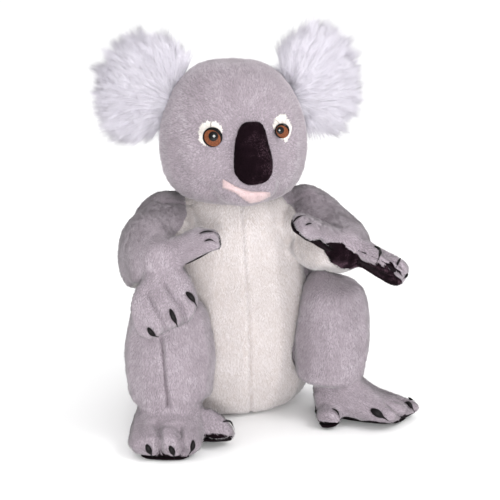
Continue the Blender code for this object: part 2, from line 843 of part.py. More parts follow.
def claw(name, inner, across, along, back, carrier):
    """A claw half sunk in its digit's tip, above a point inside the digit, and cut to the digit's surface."""
    out = along * math.cos(CLAW_TILT) + back * math.sin(CLAW_TILT)
    hit, place, _, _ = carrier.ray_cast(inner + out * CLAW_SEARCH, -out)
    if not hit:
        raise ValueError(f"{name} finds no surface to sit on")
    half = (CLAW_WIDTH / 2, CLAW_LENGTH / 2, CLAW_HEIGHT / 2)
    made = oval(name, place, half, (across, out.cross(across), out))
    return show(cut(made, carrier), material("black_claw", BLACK_VELVET, 0.5))


def lobe_claws(side, kind, clear_lobe):
    across, along, back = lobe_axes(side, kind)
    width, thickness = lobe_sizes(kind)
    reach = mirrored(HAND_LOBES[side][kind]["tip"], SIGNS[side])
    shares = THUMB_CLAW_SHARES if kind == "thumb" else FINGER_CLAW_SHARES
    made = []
    for number, share in enumerate(shares, 1):
        inner = wrist(side) + reach * (CLAW_PLACE_SHARE - share * share) + across * share * width
        made.append(claw(f"{side}_{kind}_claw_{number}", inner, across, along, back, clear_lobe))
    return made


def grooves(side, kind):
    """Thin discs that part the digits of a lobe from its back."""
    across, along, back = lobe_axes(side, kind)
    width, thickness = lobe_sizes(kind)
    reach = mirrored(HAND_LOBES[side][kind]["tip"], SIGNS[side])
    shares = THUMB_CLAW_SHARES if kind == "thumb" else FINGER_CLAW_SHARES
    made = []
    for number, (first, second) in enumerate(zip(shares, shares[1:]), 1):
        place = wrist(side) + reach + across * (first + second) / 2 * width + back * thickness / 2
        half = (GROOVE_WIDTH / 2, reach.length * GROOVE_LENGTH_SHARE, thickness * GROOVE_DEPTH_SHARE)
        made.append(oval(f"{side}_{kind}_groove_{number}", place, half, (across, along, back)))
    return made


def build_hand(side, clear_arm, shoulder_pivot):
    place = wrist(side)
    pivot = pivot_at(f"{side}_wrist", place, shoulder_pivot)
    socket = ball(f"{side}_wrist_socket", place, WRIST_RADIUS + JOINT_GAP, axis=WRIST_AXIS)
    reliefs = [turned_copy(clear_arm, place, WRIST_AXIS, -angle) for angle in (0, WRIST_LIFT)]
    grey = material("grey_plush", GREY_PLUSH)
    black = material("black_velvet", BLACK_VELVET)
    clear_thumb = lobe_form(side, "thumb", f"{side}_thumb_clearance", SEAM_GAP)
    pieces = []
    for kind in ("thumb", "finger"):
        beside = [clear_thumb] if kind == "finger" else []
        lobe = lobe_form(side, kind, f"{side}_{kind}_lobe")
        cut(lobe, palm_space(side, kind, f"{side}_{kind}_palm_cut", SEAM_GAP), socket, *reliefs, *beside)
        cut(lobe, *grooves(side, kind))
        pieces.append(show(lobe, grey))
        pad = lobe_form(side, kind, f"{side}_{kind}_pad")
        keep_inside(pad, palm_space(side, kind, f"{side}_{kind}_palm_space", 0))
        cut(pad, socket, *reliefs, *beside)
        pieces.append(show(pad, black))
        clear_lobe = settled(lobe_form(side, kind, f"{side}_{kind}_claw_seat", SEAM_GAP))
        pieces += lobe_claws(side, kind, clear_lobe)
    for piece in pieces:
        hang(piece, pivot)


# Legs

def hip(side):
    return Vector((SIGNS[side] * HIP_OUT, -HIP_FORWARD, HIP_HEIGHT))


def ankle(side):
    """Before the leg is splayed."""
    place = hip(side) + FORWARD * LEG_POSES[side]["reach"]
    return Vector((place.x, place.y, ANKLE_HEIGHT))


def leg_form(side, name, grow=0.0):
    base = ankle(side)
    rows = []
    for height, width, depth in LEG_SHARES:
        centre = Vector((base.x, base.y, LEG_BOTTOM + height * (LEG_TOP - LEG_BOTTOM)))
        rows.append((centre, width * LEG_WIDTH / 2, depth * LEG_DEPTH / 2))
    return soft_form(name, rows, Vector((1, 0, 0)), LIMB_SIDES, grow)


def build_leg(side, clear_torso):
    pose = LEG_POSES[side]
    place = hip(side)
    sign = SIGNS[side]
    pivot = pivot_at(f"{side}_hip", place)
    leg = leg_form(side, f"{side}_leg")
    cut(leg, floor_cut(f"{side}_ankle_cut", ANKLE_HEIGHT))
    join(leg, ball(f"{side}_ankle_ball", ankle(side), ANKLE_RADIUS))
    hip_ball = ball(f"{side}_hip_ball", place, HIP_RADIUS)
    for thing in list(leg.modifiers):
        if thing.type == "BOOLEAN":
            hang_once(thing.object, pivot)
    hang(show(leg, material("grey_plush", GREY_PLUSH)), pivot)
    pivot.rotation_euler.z = sign * pose["splay"]
    bpy.context.view_layer.update()
    for angle in (0, HIP_SWING):
        cut(leg, turned_copy(clear_torso, place, "Z", -sign * angle))
    join(leg, hip_ball)
    return pivot


def hang_once(cutter, pivot):
    if cutter.parent is None:
        hang(cutter, pivot)


# Feet

def foot_form(side, name, grow=0.0):
    base = ankle(side)
    rows = []
    for place, width, height in FOOT_SHARES:
        y = base.y + FOOT_HEEL - place * FOOT_POSES[side]["length"]
        half = height * FOOT_HEIGHT / 2
        rows.append((Vector((base.x, y, half - FOOT_SQUASH)), width * FOOT_WIDTH / 2, half))
    rows[0] = (rows[0][0] + UP * rows[1][2], 0, 0)
    rows[-1] = (rows[-1][0] + UP * rows[-2][2], 0, 0)
    return soft_form(name, rows, Vector((1, 0, 0)), LIMB_SIDES, grow)


def big_toe_line(side):
    """Start, direction inward and forward, before the leg is splayed."""
    turn = FOOT_POSES[side]["big_toe_turn"]
    inward = Vector((-SIGNS[side] * math.sin(turn), -math.cos(turn), 0))
    base = ankle(side)
    start = Vector((base.x, base.y - BIG_TOE_FORWARD, 0)) + inward * BIG_TOE_START
    return start, inward


def big_toe_form(side, name, grow=0.0):
    start, inward = big_toe_line(side)
    rows = []
    for place, width, height in BIG_TOE_SHARES:
        half = height * BIG_TOE_HEIGHT / 2
        centre = start + inward * place * FOOT_POSES[side]["big_toe"] + UP * (half - FOOT_SQUASH)
        rows.append((centre, width * BIG_TOE_WIDTH / 2, half))
    rows[0] = (rows[0][0] + UP * rows[1][2], 0, 0)
    rows[-1] = (rows[-1][0] + UP * rows[-2][2], 0, 0)
    return soft_form(name, rows, inward.cross(UP), SMALL_SIDES, grow)


def toe_claws(side, clear_foot, clear_toe):
    """The four claws of a foot."""
    base = ankle(side)
    length = FOOT_POSES[side]["length"]
    across = Vector((1, 0, 0))
    made = []
    for number, share in enumerate(TOE_CLAW_SHARES, 1):
        along_foot = (CLAW_PLACE_SHARE - share * share) * length - FOOT_HEEL
        inner = Vector((base.x + SIGNS[side] * share * FOOT_WIDTH, base.y - along_foot, TOE_MIDDLE))
        made.append(claw(f"{side}_toe_claw_{number}", inner, across, FORWARD, UP, clear_foot))
    start, inward = big_toe_line(side)
    inner = start + inward * FOOT_POSES[side]["big_toe"] * CLAW_PLACE_SHARE + UP * TOE_MIDDLE
    made.append(claw(f"{side}_big_toe_claw", inner, inward.cross(UP), inward, UP, clear_toe))
    return made


def toe_grooves(side):
    base = ankle(side)
    length = FOOT_POSES[side]["length"]
    front = base.y + FOOT_HEEL - length
    height = FOOT_SHARES[-2][2] * FOOT_HEIGHT
    made = []
    for number, (first, second) in enumerate(zip(TOE_CLAW_SHARES, TOE_CLAW_SHARES[1:]), 1):
        place = Vector((base.x + (first + second) / 2 * FOOT_WIDTH, front, height))
        half = (GROOVE_WIDTH / 2, length * TOE_GROOVE_LENGTH_SHARE, height * TOE_GROOVE_DEPTH_SHARE)
        made.append(oval(f"{side}_toe_groove_{number}", place, half, WORLD_AXES))
    return made


def build_foot(side, hip_pivot):
    pose = LEG_POSES[side]
    grey = material("grey_plush", GREY_PLUSH)
    black = material("black_velvet", BLACK_VELVET)
    splay = hip_pivot.rotation_euler.z
    hip_pivot.rotation_euler.z = 0
    bpy.context.view_layer.update()
    pivot = pivot_at(f"{side}_ankle", ankle(side), hip_pivot)

    reach = TORSO_WIDTH + TORSO_DEPTH
    above = box(f"{side}_above_ankle", (-reach, -reach, ANKLE_HEIGHT - SEAM_GAP), (reach, reach, reach))
    floor = floor_cut(f"{side}_foot_floor", 0)
    sole_cut = floor_cut(f"{side}_sole_cut", PAD + SEAM_GAP)
    sole_space = floor_cut(f"{side}_sole_space", PAD)
    socket = ball(f"{side}_ankle_socket", ankle(side), ANKLE_RADIUS + JOINT_GAP)
    clear_foot = settled(foot_form(side, f"{side}_foot_clearance", SEAM_GAP))
    clear_toe = settled(big_toe_form(side, f"{side}_big_toe_clearance", SEAM_GAP))

    foot = cut(foot_form(side, f"{side}_foot"), sole_cut, above, socket, *toe_grooves(side))
    sole = cut(keep_inside(foot_form(side, f"{side}_sole_pad"), sole_space), floor)
    toe = cut(big_toe_form(side, f"{side}_big_toe"), sole_cut, clear_foot)
    toe_pad = cut(keep_inside(big_toe_form(side, f"{side}_big_toe_pad"), sole_space), floor, clear_foot)
    pieces = [show(foot, grey), show(sole, black), show(toe, grey), show(toe_pad, black)]
    pieces += toe_claws(side, clear_foot, clear_toe)
    for piece in pieces:
        for thing in piece.modifiers:
            if thing.type == "BOOLEAN":
                hang_once(thing.object, pivot)
    for piece in pieces:
        hang(piece, pivot)
    pivot.rotation_euler.z = SIGNS[side] * pose["foot_turn"]
    hip_pivot.rotation_euler.z = splay
    bpy.context.view_layer.update()


def build():
    clear_torso = settled(torso_form("torso_clearance", JOINT_GAP))
    clear_head = settled(head_form("head_clearance", JOINT_GAP))
    clear_face = face_form("face_clearance_for_arms", JOINT_GAP)
    neck_socket = ball("neck_socket", NECK, NECK_RADIUS + JOINT_GAP)
    sockets = [neck_socket]
    ear_sockets = []
    for side in SIGNS:
        turn = shoulder_axis(side)
        sockets.append(ball(f"{side}_shoulder_socket", shoulder(side), SHOULDER_RADIUS + JOINT_GAP, axis=turn))
        sockets.append(ball(f"{side}_hip_socket", hip(side), HIP_RADIUS + JOINT_GAP))
        seam = ear_axis(side)
        ear_sockets.append(ball(f"{side}_ear_socket", ear_root(side), EAR_RADIUS + JOINT_GAP, axis=seam))
    build_body(sockets)
    neck = build_head(ear_sockets)
    for side in SIGNS:
        build_ear(side, clear_head, neck)
        arm_pivot = build_arm(side, clear_torso, clear_face)
        clear_arm = settled(arm_form(side, f"{side}_arm_clearance", JOINT_GAP))
        build_hand(side, clear_arm, arm_pivot)
        hip_pivot = build_leg(side, clear_torso)
        build_foot(side, hip_pivot)


build()
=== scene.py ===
"""Looks of a sitting plush koala: short lavender-grey pile, a cream belly, long white ear fur, and a black nose,
palms and claws. Lengths are in metres unless a comment says mm, and places on the photograph are its pixels."""
import math

import bmesh
import bpy
import numpy as np
from mathutils import Matrix, Vector
from mathutils.bvhtree import BVHTree
from mathutils.kdtree import KDTree


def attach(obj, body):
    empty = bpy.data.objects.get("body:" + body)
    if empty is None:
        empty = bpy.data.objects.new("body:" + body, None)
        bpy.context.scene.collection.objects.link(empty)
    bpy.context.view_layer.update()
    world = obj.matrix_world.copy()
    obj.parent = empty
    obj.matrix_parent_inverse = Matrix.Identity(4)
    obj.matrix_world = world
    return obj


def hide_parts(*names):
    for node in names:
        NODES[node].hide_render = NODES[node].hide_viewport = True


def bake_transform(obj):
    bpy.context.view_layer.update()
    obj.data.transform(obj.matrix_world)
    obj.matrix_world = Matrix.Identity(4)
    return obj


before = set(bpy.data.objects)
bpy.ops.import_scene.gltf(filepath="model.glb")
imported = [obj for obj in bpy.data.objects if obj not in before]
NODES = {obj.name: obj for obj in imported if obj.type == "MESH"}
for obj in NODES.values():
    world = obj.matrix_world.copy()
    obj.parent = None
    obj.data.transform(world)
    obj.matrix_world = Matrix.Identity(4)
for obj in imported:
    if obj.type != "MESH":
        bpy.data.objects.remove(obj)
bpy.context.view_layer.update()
SCENE = bpy.context.scene
MM = 0.001
SIDES = ("right", "left")
SIGNS = {"right": -1, "left": 1}
FRAME = 500  # the photograph's side, in pixels
FOCAL = 1150  # the lens's focal length, in pixels
AXIS = (246, 240)  # the pixel that the lens's axis goes through
PIXEL = 0.87  # what one pixel shows at the toy, in mm


def rgb(red, green, blue):
    """A linear colour from the usual 0 to 255 numbers."""
    shares = [c / 255 for c in (red, green, blue)]
    return tuple(s / 12.92 if s <= 0.04045 else ((s + 0.055) / 1.055) ** 2.4 for s in shares) + (1.0,)


def put(name, data):
    """A new object in the scene."""
    made = bpy.data.objects.new(name, data)
    SCENE.collection.objects.link(made)
    return made


# Camera, lights and floor.
def aim(thing, place, way):
    """Puts a camera or a lamp at a place, looking along a way."""
    thing.location = place
    thing.rotation_mode = "QUATERNION"
    thing.rotation_quaternion = way.to_track_quat("-Z", "Y")


def place_camera():
    """A long lens a metre off, turned to one side and looking down a little, as the photograph was taken."""
    look = Vector((0, -0.06, 0.17))
    azimuth, elevation = math.radians(-12), math.radians(14)
    level = math.cos(elevation)
    back = Vector((math.sin(azimuth) * level, -math.cos(azimuth) * level, math.sin(elevation)))
    data = bpy.data.cameras.new("camera")
    data.sensor_width = 36
    data.lens = FOCAL / FRAME * data.sensor_width
    data.shift_x = (FRAME / 2 - AXIS[0]) / FRAME
    data.shift_y = (AXIS[1] - FRAME / 2) / FRAME
    camera = put("camera", data)
    aim(camera, look + back, -back)
    SCENE.camera = camera


def camera_ray(across, down):
    """Place of the camera, and the way from it through a pixel of the photograph."""
    camera = SCENE.camera
    way = camera.rotation_quaternion @ Vector(((across - AXIS[0]) / FOCAL, (AXIS[1] - down) / FOCAL, -1))
    return camera.location.copy(), way.normalized()


def place_lights():
    """Even light from all round, a key lamp on the right, a catch light for the eyes and a low, wide fill."""
    world = bpy.data.worlds.new("studio")
    world.use_nodes = True
    set_inputs(world.node_tree.nodes["Background"], {"Color": (1, 1, 1, 1), "Strength": 1.14})
    SCENE.world = world
    SCENE.view_settings.view_transform = "Standard"
    for name, place, target, size, power in (
        ("key", (1.0, -1.0, 1.5), (0, -0.03, 0.15), 0.8, 12),
        ("catch", (-0.28, -1.42, 0.30), (0, -0.05, 0.16), 0.32, 11.5),
        ("fill", (0.15, -1.0, 0.12), (0, -0.05, 0.17), 1.4, 3.2),
    ):
        data = bpy.data.lights.new(name, "AREA")
        data.shape, data.size, data.energy = "DISK", size, power
        aim(put(name, data), place, Vector(target) - Vector(place))


def place_floor():
    """A plain pale floor, far wider than the picture."""
    mesh = bpy.data.meshes.new("floor")
    bm = bmesh.new()
    bmesh.ops.create_circle(bm, cap_ends=True, segments=96, radius=12)
    bm.to_mesh(mesh)
    bm.free()
    material, _, _, shader = new_material("floor")
    set_inputs(shader, {"Base Color": (0.93, 0.93, 0.93, 1), "Roughness": 0.9})
    mesh.materials.append(material)
    put("floor", mesh)


# Numbers over points, and meshes.
def waves(points, wavelength, seed, count=18):
    """A smooth random number for each point, mostly from -1 to 1, that changes over a wavelength."""
    draw = np.random.default_rng(seed)
    ways = draw.normal(size=(3, count))
    ways /= np.linalg.norm(ways, axis=0)
    ways *= draw.uniform(0.6, 1.5, count) * 2 * np.pi / wavelength
    return np.sin(points @ ways + draw.uniform(0, 2 * np.pi, count)).sum(1) * math.sqrt(1 / count)


def unit(vectors):
    return vectors / np.maximum(np.linalg.norm(vectors, axis=-1, keepdims=True), 1e-9)


def numbers(items, field, width=3, kind=np.float32):
    """One field of every item of a Blender collection, as rows of numbers."""
    values = np.zeros(len(items) * width, kind)
    items.foreach_get(field, values)
    return values.reshape(-1, width)


def points_of(mesh):
    return numbers(mesh.vertices, "co").astype(float)


def normals_of(mesh):
    return numbers(mesh.vertex_normals, "vector").astype(float)


def triangles_of(mesh):
    mesh.calc_loop_triangles()
    return numbers(mesh.loop_triangles, "vertices", 3, np.int32)


def set_points(mesh, points):
    mesh.vertices.foreach_set("co", points.astype(np.float32).ravel())
    mesh.update()


def set_vectors(mesh, name, values):
    """Gives a mesh a vector for each point."""
    attribute = mesh.attributes.new(name, "FLOAT_VECTOR", "POINT")
    attribute.data.foreach_set("vector", values.astype(np.float32).ravel())


def triangle_mesh(name, points, faces):
    """A smooth mesh of triangles."""
    mesh = bpy.data.meshes.new(name)
    mesh.vertices.add(len(points))
    mesh.vertices.foreach_set("co", points.astype(np.float32).ravel())
    mesh.loops.add(faces.size)
    mesh.loops.foreach_set("vertex_index", faces.astype(np.int32).ravel())
    mesh.polygons.add(len(faces))
    mesh.polygons.foreach_set("loop_start", np.arange(0, faces.size, 3, dtype=np.int32))
    mesh.polygons.foreach_set("use_smooth", np.ones(len(faces), bool))
    mesh.update(calc_edges=True)
    return mesh


def solid_mesh(name, points, faces):
    """A smooth mesh of any faces, turned outwards."""
    mesh = bpy.data.meshes.new(name)
    mesh.from_pydata(points, [], faces)
    bm = bmesh.new()
    bm.from_mesh(mesh)
    bmesh.ops.recalc_face_normals(bm, faces=bm.faces)
    bm.to_mesh(mesh)
    bm.free()
    for polygon in mesh.polygons:
        polygon.use_smooth = True
    return mesh


def tree_of(meshes):
    """One search tree over several meshes."""
    points, faces, start = [], [], 0
    for mesh in meshes:
        points.append(points_of(mesh))
        faces.append(triangles_of(mesh) + start)
        start += len(points[-1])
    return BVHTree.FromPolygons(np.concatenate(points).tolist(), np.concatenate(faces).tolist())


def distances(tree, points, most=0.03):
    """How far each point is from a tree's surface."""
    found = (tree.find_nearest(p, most)[3] for p in points)
    return np.array([most if d is None else d for d in found])


# Materials.
def new_material(name):
    """A material, its nodes, its links and its shader."""
    material = bpy.data.materials.new(name)
    material.use_nodes = True
    nodes = material.node_tree.nodes
    return material, nodes, material.node_tree.links, nodes["Principled BSDF"]


def set_inputs(node, values):
    for name, value in values.items():
        node.inputs[name].default_value = value


def add_node(nodes, kind, values=(), **settings):
    """A shader node with its settings, and with numbers on its own inputs."""
    node = nodes.new("ShaderNode" + kind)
    for name, value in settings.items():
        setattr(node, name, value)
    set_inputs(node, dict(values))
    return node


def multiplier(nodes):
    """A node that multiplies two colours."""
    return add_node(nodes, "Mix", {"Factor": 1}, data_type="RGBA", blend_type="MULTIPLY")


def ramp(nodes, stops):
    """A colour ramp through (place, colour) stops."""
    node = nodes.new("ShaderNodeValToRGB")
    elements = node.color_ramp.elements
    while len(elements) < len(stops):
        elements.new(0.5)
    for element, (place, colour) in zip(elements, stops):
        element.position = place
        element.color = colour
    return node


def wire(links, *wires):
    """Each wire is (node, output, node, input)."""
    for start, output, end, entry in wires:
        links.new(start.outputs[output], end.inputs[entry])


def set_surface(shader, roughness, specular, sheen, sheen_roughness):
    set_inputs(shader, {
        "Roughness": roughness, "Specular IOR Level": specular,
        "Sheen Weight": sheen, "Sheen Roughness": sheen_roughness,
    })


def pile_material(name, dark, middle, light, root=0.55, sheen=0.25, specular=0.2):
    """Hair colour by the strand's tone, darker down at the root."""
    material, nodes, links, shader = new_material(name)
    data = add_node(nodes, "Attribute", attribute_name="pile")
    parts = add_node(nodes, "SeparateXYZ")
    tones = ramp(nodes, [(0, rgb(*dark)), (0.5, rgb(*middle)), (1, rgb(*light))])
    depth = ramp(nodes, [(0, (root, root, root, 1)), (0.6, (1, 1, 1, 1))])
    mix = multiplier(nodes)
    wire(
        links, (data, "Vector", parts, 0), (parts, "X", tones, 0), (parts, "Y", depth, 0),
        (tones, "Color", mix, "A"), (depth, "Color", mix, "B"), (mix, "Result", shader, "Base Color"),
    )
    set_surface(shader, 0.8, specular, sheen, 0.5)
    return material


def cloth_material(
    name, dark, light, scale=700, bump=0.4, roughness=0.9, sheen=0.3, sheen_roughness=0.5, specular=0.2
):
    """The knitted backing that the pile grows from, or a short velvet: mottled, with a fine rough relief."""
    material, nodes, links, shader = new_material(name)
    where = add_node(nodes, "TexCoord")
    fine = add_node(nodes, "TexNoise", {"Scale": scale, "Detail": 3})
    broad = add_node(nodes, "TexNoise", {"Scale": scale / 12})
    mix = add_node(nodes, "Math", {1: 0.6}, operation="MULTIPLY_ADD")
    part = add_node(nodes, "Math", {1: 0.4}, operation="MULTIPLY")
    colours = ramp(nodes, [(0.3, rgb(*dark)), (0.75, rgb(*light))])
    relief = add_node(nodes, "Bump", {"Strength": bump, "Distance": 0.0006})
    wire(
        links, (where, "Object", fine, "Vector"), (where, "Object", broad, "Vector"), (broad, "Fac", part, 0),
        (fine, "Fac", mix, 0), (part, 0, mix, 2), (mix, 0, colours, 0),
        (colours, "Color", shader, "Base Color"),
        (fine, "Fac", relief, "Height"), (relief, "Normal", shader, "Normal"),
    )
    set_surface(shader, roughness, specular, sheen, sheen_roughness)
    return material
GREY_PILE = pile_material("grey_pile", (118, 107, 114), (169, 158, 166), (206, 197, 205), 0.66)
# The cream ramp's brownish dark end shows mostly where the belly's folds have painted shade.
CREAM_PILE = pile_material("cream_pile", (160, 141, 131), (208, 201, 201), (230, 225, 226), 0.78)
EAR_PILE = pile_material("ear_pile", (165, 157, 171), (207, 203, 212), (236, 233, 240), 0.78, 0.1)
BLACK_PILE = pile_material("black_pile", (9, 4, 7), (32, 20, 26), (82, 62, 72), 0.5, 0.0, 0.03)
PINK_PILE = pile_material("pink_pile", (150, 128, 131), (204, 182, 183), (224, 206, 207), 0.7)
WHITE_PILE = pile_material("white_pile", (200, 195, 190), (240, 236, 232), (250, 248, 246), 0.8)
GREY_CLOTH = cloth_material("grey_backing", (114, 105, 112), (144, 134, 141))
CREAM_CLOTH = cloth_material("cream_backing", (166, 156, 152), (192, 184, 182))
EAR_CLOTH = cloth_material("ear_backing", (190, 184, 196), (225, 220, 230))
VELVET = cloth_material("black_velvet", (6, 2, 4), (24, 13, 19), 1500, 0.5, 0.95, 0.02, 0.35, 0.04)
CLAW = cloth_material("black_claw", (4, 2, 3), (14, 9, 12), 900, 0.25, 0.5, 0.0, 0.3, 0.15)
PINK = cloth_material("pink_plush", (182, 158, 160), (206, 182, 183), 900, 0.5)
FELT = cloth_material("white_felt", (196, 188, 180), (232, 226, 220), 900, 0.6)
PLASTIC = cloth_material("washer_plastic", (215, 212, 205), (232, 230, 224), 120, 0.1, 0.4, 0.0)


# Skins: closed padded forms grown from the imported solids.
def neighbours(mesh):
    """The ends of each edge, and how many neighbours each point has."""
    ends = numbers(mesh.edges, "vertices", 2, np.int32)
    return ends[:, 0], ends[:, 1], np.maximum(np.bincount(ends.ravel(), minlength=len(mesh.vertices)), 1)


def relax(values, net, rounds, weight=0.5):
    """Draws each point's values towards the mean of its neighbours' a number of times."""
    first, second, degree = net
    count = len(degree)
    for _ in range(rounds):
        mean = np.stack(
            [np.bincount(first, v[second], count) + np.bincount(second, v[first], count) for v in values.T], 1
        ) / degree[:, None]
        values = values + (mean - values) * weight
    return values


def largest_part(mesh):
    """Keeps only the part of a mesh with the most points, so that no hidden inner shell stays."""
    first, second, _ = neighbours(mesh)
    label = np.arange(len(mesh.vertices))
    while True:
        low = np.minimum(label[first], label[second])
        fresh = label.copy()
        np.minimum.at(fresh, first, low)
        np.minimum.at(fresh, second, low)
        fresh = fresh[fresh]
        if (fresh == label).all():
            break
        label = fresh
    names, sizes = np.unique(label, return_counts=True)
    if len(names) > 1:
        bm = bmesh.new()
        bm.from_mesh(mesh)
        bm.verts.ensure_lookup_table()
        gone = np.flatnonzero(label != names[sizes.argmax()])
        bmesh.ops.delete(bm, geom=[bm.verts[i] for i in gone], context="VERTS")
        bm.to_mesh(mesh)
        bm.free()


def swollen_copy(bm, node, swell):
    """Adds a node's solid to bm, welded and pushed out a little, in mm."""
    solid = bmesh.new()
    solid.from_mesh(NODES[node].data)
    bmesh.ops.remove_doubles(solid, verts=solid.verts, dist=1e-6)
    solid.normal_update()
    if swell:
        moved = [v.co + v.normal * swell * MM for v in solid.verts]
        for vert, place in zip(solid.verts, moved):
            vert.co = place
    mesh = bpy.data.meshes.new("solid")
    solid.to_mesh(mesh)
    solid.free()
    bm.from_mesh(mesh)
    bpy.data.meshes.remove(mesh)


def add_oval(bm, centre, radii):
    place = Matrix.Translation(centre) @ Matrix.Diagonal((*radii, 1))
    bmesh.ops.create_uvsphere(bm, u_segments=32, v_segments=20, radius=1, matrix=place)


def remeshed(bm, voxel):
    """One closed mesh round everything in bm, in steps of a voxel, in mm."""
    mesh = bpy.data.meshes.new("form")
    bm.to_mesh(mesh)
    bm.free()
    form = put("form", mesh)
    remesh = form.modifiers.new("remesh", "REMESH")
    remesh.mode = "VOXEL"
    remesh.voxel_size = voxel * MM
    graph = bpy.context.evaluated_depsgraph_get()
    done = bpy.data.meshes.new_from_object(form.evaluated_get(graph))
    bpy.data.objects.remove(form)
    largest_part(done)
    return done


LOOK = {}  # what the pile has to know of each skin


def finished(name, points, up, faces, nodes, materials, kinds, hold, skinned=None):
    """Makes the piece. Its first `skinned` faces carry pile, and any after them close it where it meets
    another piece."""
    mesh = triangle_mesh(name, points, faces)
    for material in materials:
        mesh.materials.append(material)
    mesh.polygons.foreach_set("material_index", kinds.astype(np.int32))
    set_vectors(mesh, "custom_normal", up)
    piece = put(name, mesh)
    LOOK[name] = {"points": points, "up": up, "faces": faces[:skinned], "kinds": kinds[:skinned], "hold": hold}
    fix(piece, hold)
    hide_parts(*nodes)
    return piece


def fix(piece, hold):
    """Makes the piece ride on one body, or, with a longer hold, only sets its transform into its mesh."""
    if len(hold) == 1:
        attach(piece, hold[0])
    else:
        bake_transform(piece)


CREASE_ROUNDS = 420


def shaped(mesh, soft, rounds, inset, moves, creases=()):
    """Points and normals of a mesh once it is softened, set in under its pile by some mm and moved into shape.
    Creases are places, each with its reach, that are softened far more."""
    net = neighbours(mesh)
    points = relax(points_of(mesh), net, rounds, soft)
    if creases:
        off = np.min([np.linalg.norm(points - np.array(place), axis=1) / reach for place, reach in creases], axis=0)
        points = relax(points, net, CREASE_ROUNDS, 0.6 * np.exp(-(off**4))[:, None])
    set_points(mesh, points)
    points = points - normals_of(mesh) * (inset * MM)
    set_points(mesh, points)
    for move in moves:
        points = move(points, normals_of(mesh))
        set_points(mesh, points)
    points = relax(points, net, 1, 0.35)
    set_points(mesh, points)
    return points, normals_of(mesh)


def skin(name, body, nodes, materials, voxel, rounds, inset, moves=()):
    """A closed, rounded piece over these solids, all on one body."""
    bm = bmesh.new()
    for node in nodes:
        swollen_copy(bm, node, 0.3)
    mesh = remeshed(bm, voxel)
    points, up = shaped(mesh, 0.5, rounds, inset, moves)
    faces = triangles_of(mesh)
    return finished(name, points, up, faces, nodes, materials, np.zeros(len(faces)), (body,))


def owners_of(mesh, groups):
    """For each point, a share for each group of solids: 1 for the group of the nearest solid."""
    solids = [(NODES[node].data, index) for index, nodes in enumerate(groups) for node in nodes]
    tree = tree_of([solid for solid, _ in solids])
    owner = np.concatenate([np.full(len(triangles_of(solid)), index) for solid, index in solids])
    nearest = owner[[tree.find_nearest(p)[2] for p in points_of(mesh).tolist()]]
    return np.eye(len(groups))[nearest]


CAP_DEPTH = 4  # mm that a closing dish goes in


def closed_part(points, up, faces, chosen):
    """The chosen faces as a mesh of their own, each open edge closed by a dish that is set inside, and how many
    of its faces were chosen."""
    part = faces[chosen]
    used, part = np.unique(part, return_inverse=True)
    part = part.reshape(-1, 3)
    own, facing = points[used], up[used]
    sides = np.concatenate([part[:, [0, 1]], part[:, [1, 2]], part[:, [2, 0]]])
    there = set(map(tuple, sides.tolist()))
    after = {a: b for a, b in there if (b, a) not in there}
    middle = own.mean(0)
    caps, extra, normal = [], [], []
    while after:
        start, end = after.popitem()
        loop = [start, end]
        while loop[-1] in after:
            loop.append(after.pop(loop[-1]))
        if loop[-1] == loop[0]:
            loop.pop()
        ring = own[loop]
        inward = unit(middle - ring.mean(0))
        centre = len(own) + len(extra)
        extra.append(ring.mean(0) + inward * min(CAP_DEPTH * MM, np.linalg.norm(middle - ring.mean(0)) * 0.4))
        normal.append(-inward)
        caps += [(b, a, centre) for a, b in zip(loop, loop[1:] + loop[:1])]
    if extra:
        own = np.concatenate([own, extra])
        facing = np.concatenate([facing, normal])
    return own, facing, np.concatenate([part, np.array(caps, int).reshape(-1, 3)]), len(part)


def group(nodes, swell, soft, inset, fill, hold, shell=None):
    """One piece of a fused form: its nodes, how far they swell and how deep its skin is set in, in mm, how much
    it is softened, its fill, which is not used, what holds it, and the nodes that it shows."""
    return {
        "nodes": nodes, "shell": shell or nodes, "swell": swell, "soft": soft, "inset": inset,
        "fill": fill, "hold": hold,
    }


def fused(groups, voxel, ovals, rounds, moves, kind, split=None, creases=()):
    """Several pieces made as one smooth form and then parted where one piece's solids are nearer than another's,
    or where split says. groups maps a piece's name to its group."""
    bm = bmesh.new()
    for part in groups.values():
        for node in part["nodes"]:
            swollen_copy(bm, node, part["swell"])
    for oval in ovals:
        add_oval(bm, *oval)
    mesh = remeshed(bm, voxel)
    net = neighbours(mesh)
    shares = owners_of(mesh, [g["shell"] for g in groups.values()])
    soft = relax(shares, net, 6)
    softness = (soft @ np.array([g["soft"] for g in groups.values()]))[:, None]
    depth = (soft @ np.array([g["inset"] for g in groups.values()]))[:, None]
    points, up = shaped(mesh, softness, rounds, depth, moves, creases)
    faces = triangles_of(mesh)
    middle = points[faces].mean(1)
    if split is None:
        owner = relax(shares, net, 10)[faces].mean(1).argmax(1)
    else:
        owner = split(middle)
    kinds = kind(middle, unit(up[faces].mean(1)), owner)
    made = {}
    for index, (name, part) in enumerate(groups.items()):
        chosen = owner == index
        rim = np.intersect1d(faces[chosen], faces[~chosen])
        own, facing, own_faces, skinned = closed_part(points, up, faces, chosen)
        own_kinds = np.concatenate([kinds[chosen], np.zeros(len(own_faces) - skinned)])
        hold = part["hold"]
        if callable(hold):
            hold = hold(points[rim], points[np.unique(faces[chosen])])
        made[name] = finished(
            name, own, facing, own_faces, part["nodes"], MATERIALS, own_kinds, hold,
            skinned,
        )
    return made


def bend_from(parent, body, root, way, run):
    """A hold for a piece: its parent, its body, and a span along its way that starts a little beyond the rim."""
    root, way = np.array(root), unit(np.array(way, float))

    def hold(rim, points):
        near = rim[(rim - root) @ way < np.percentile((points - root) @ way, 60)]
        first = ((near - root) @ way).max() + 1 * MM
        return parent, body, tuple(root + way * first), tuple(root + way * (first + run))

    return hold


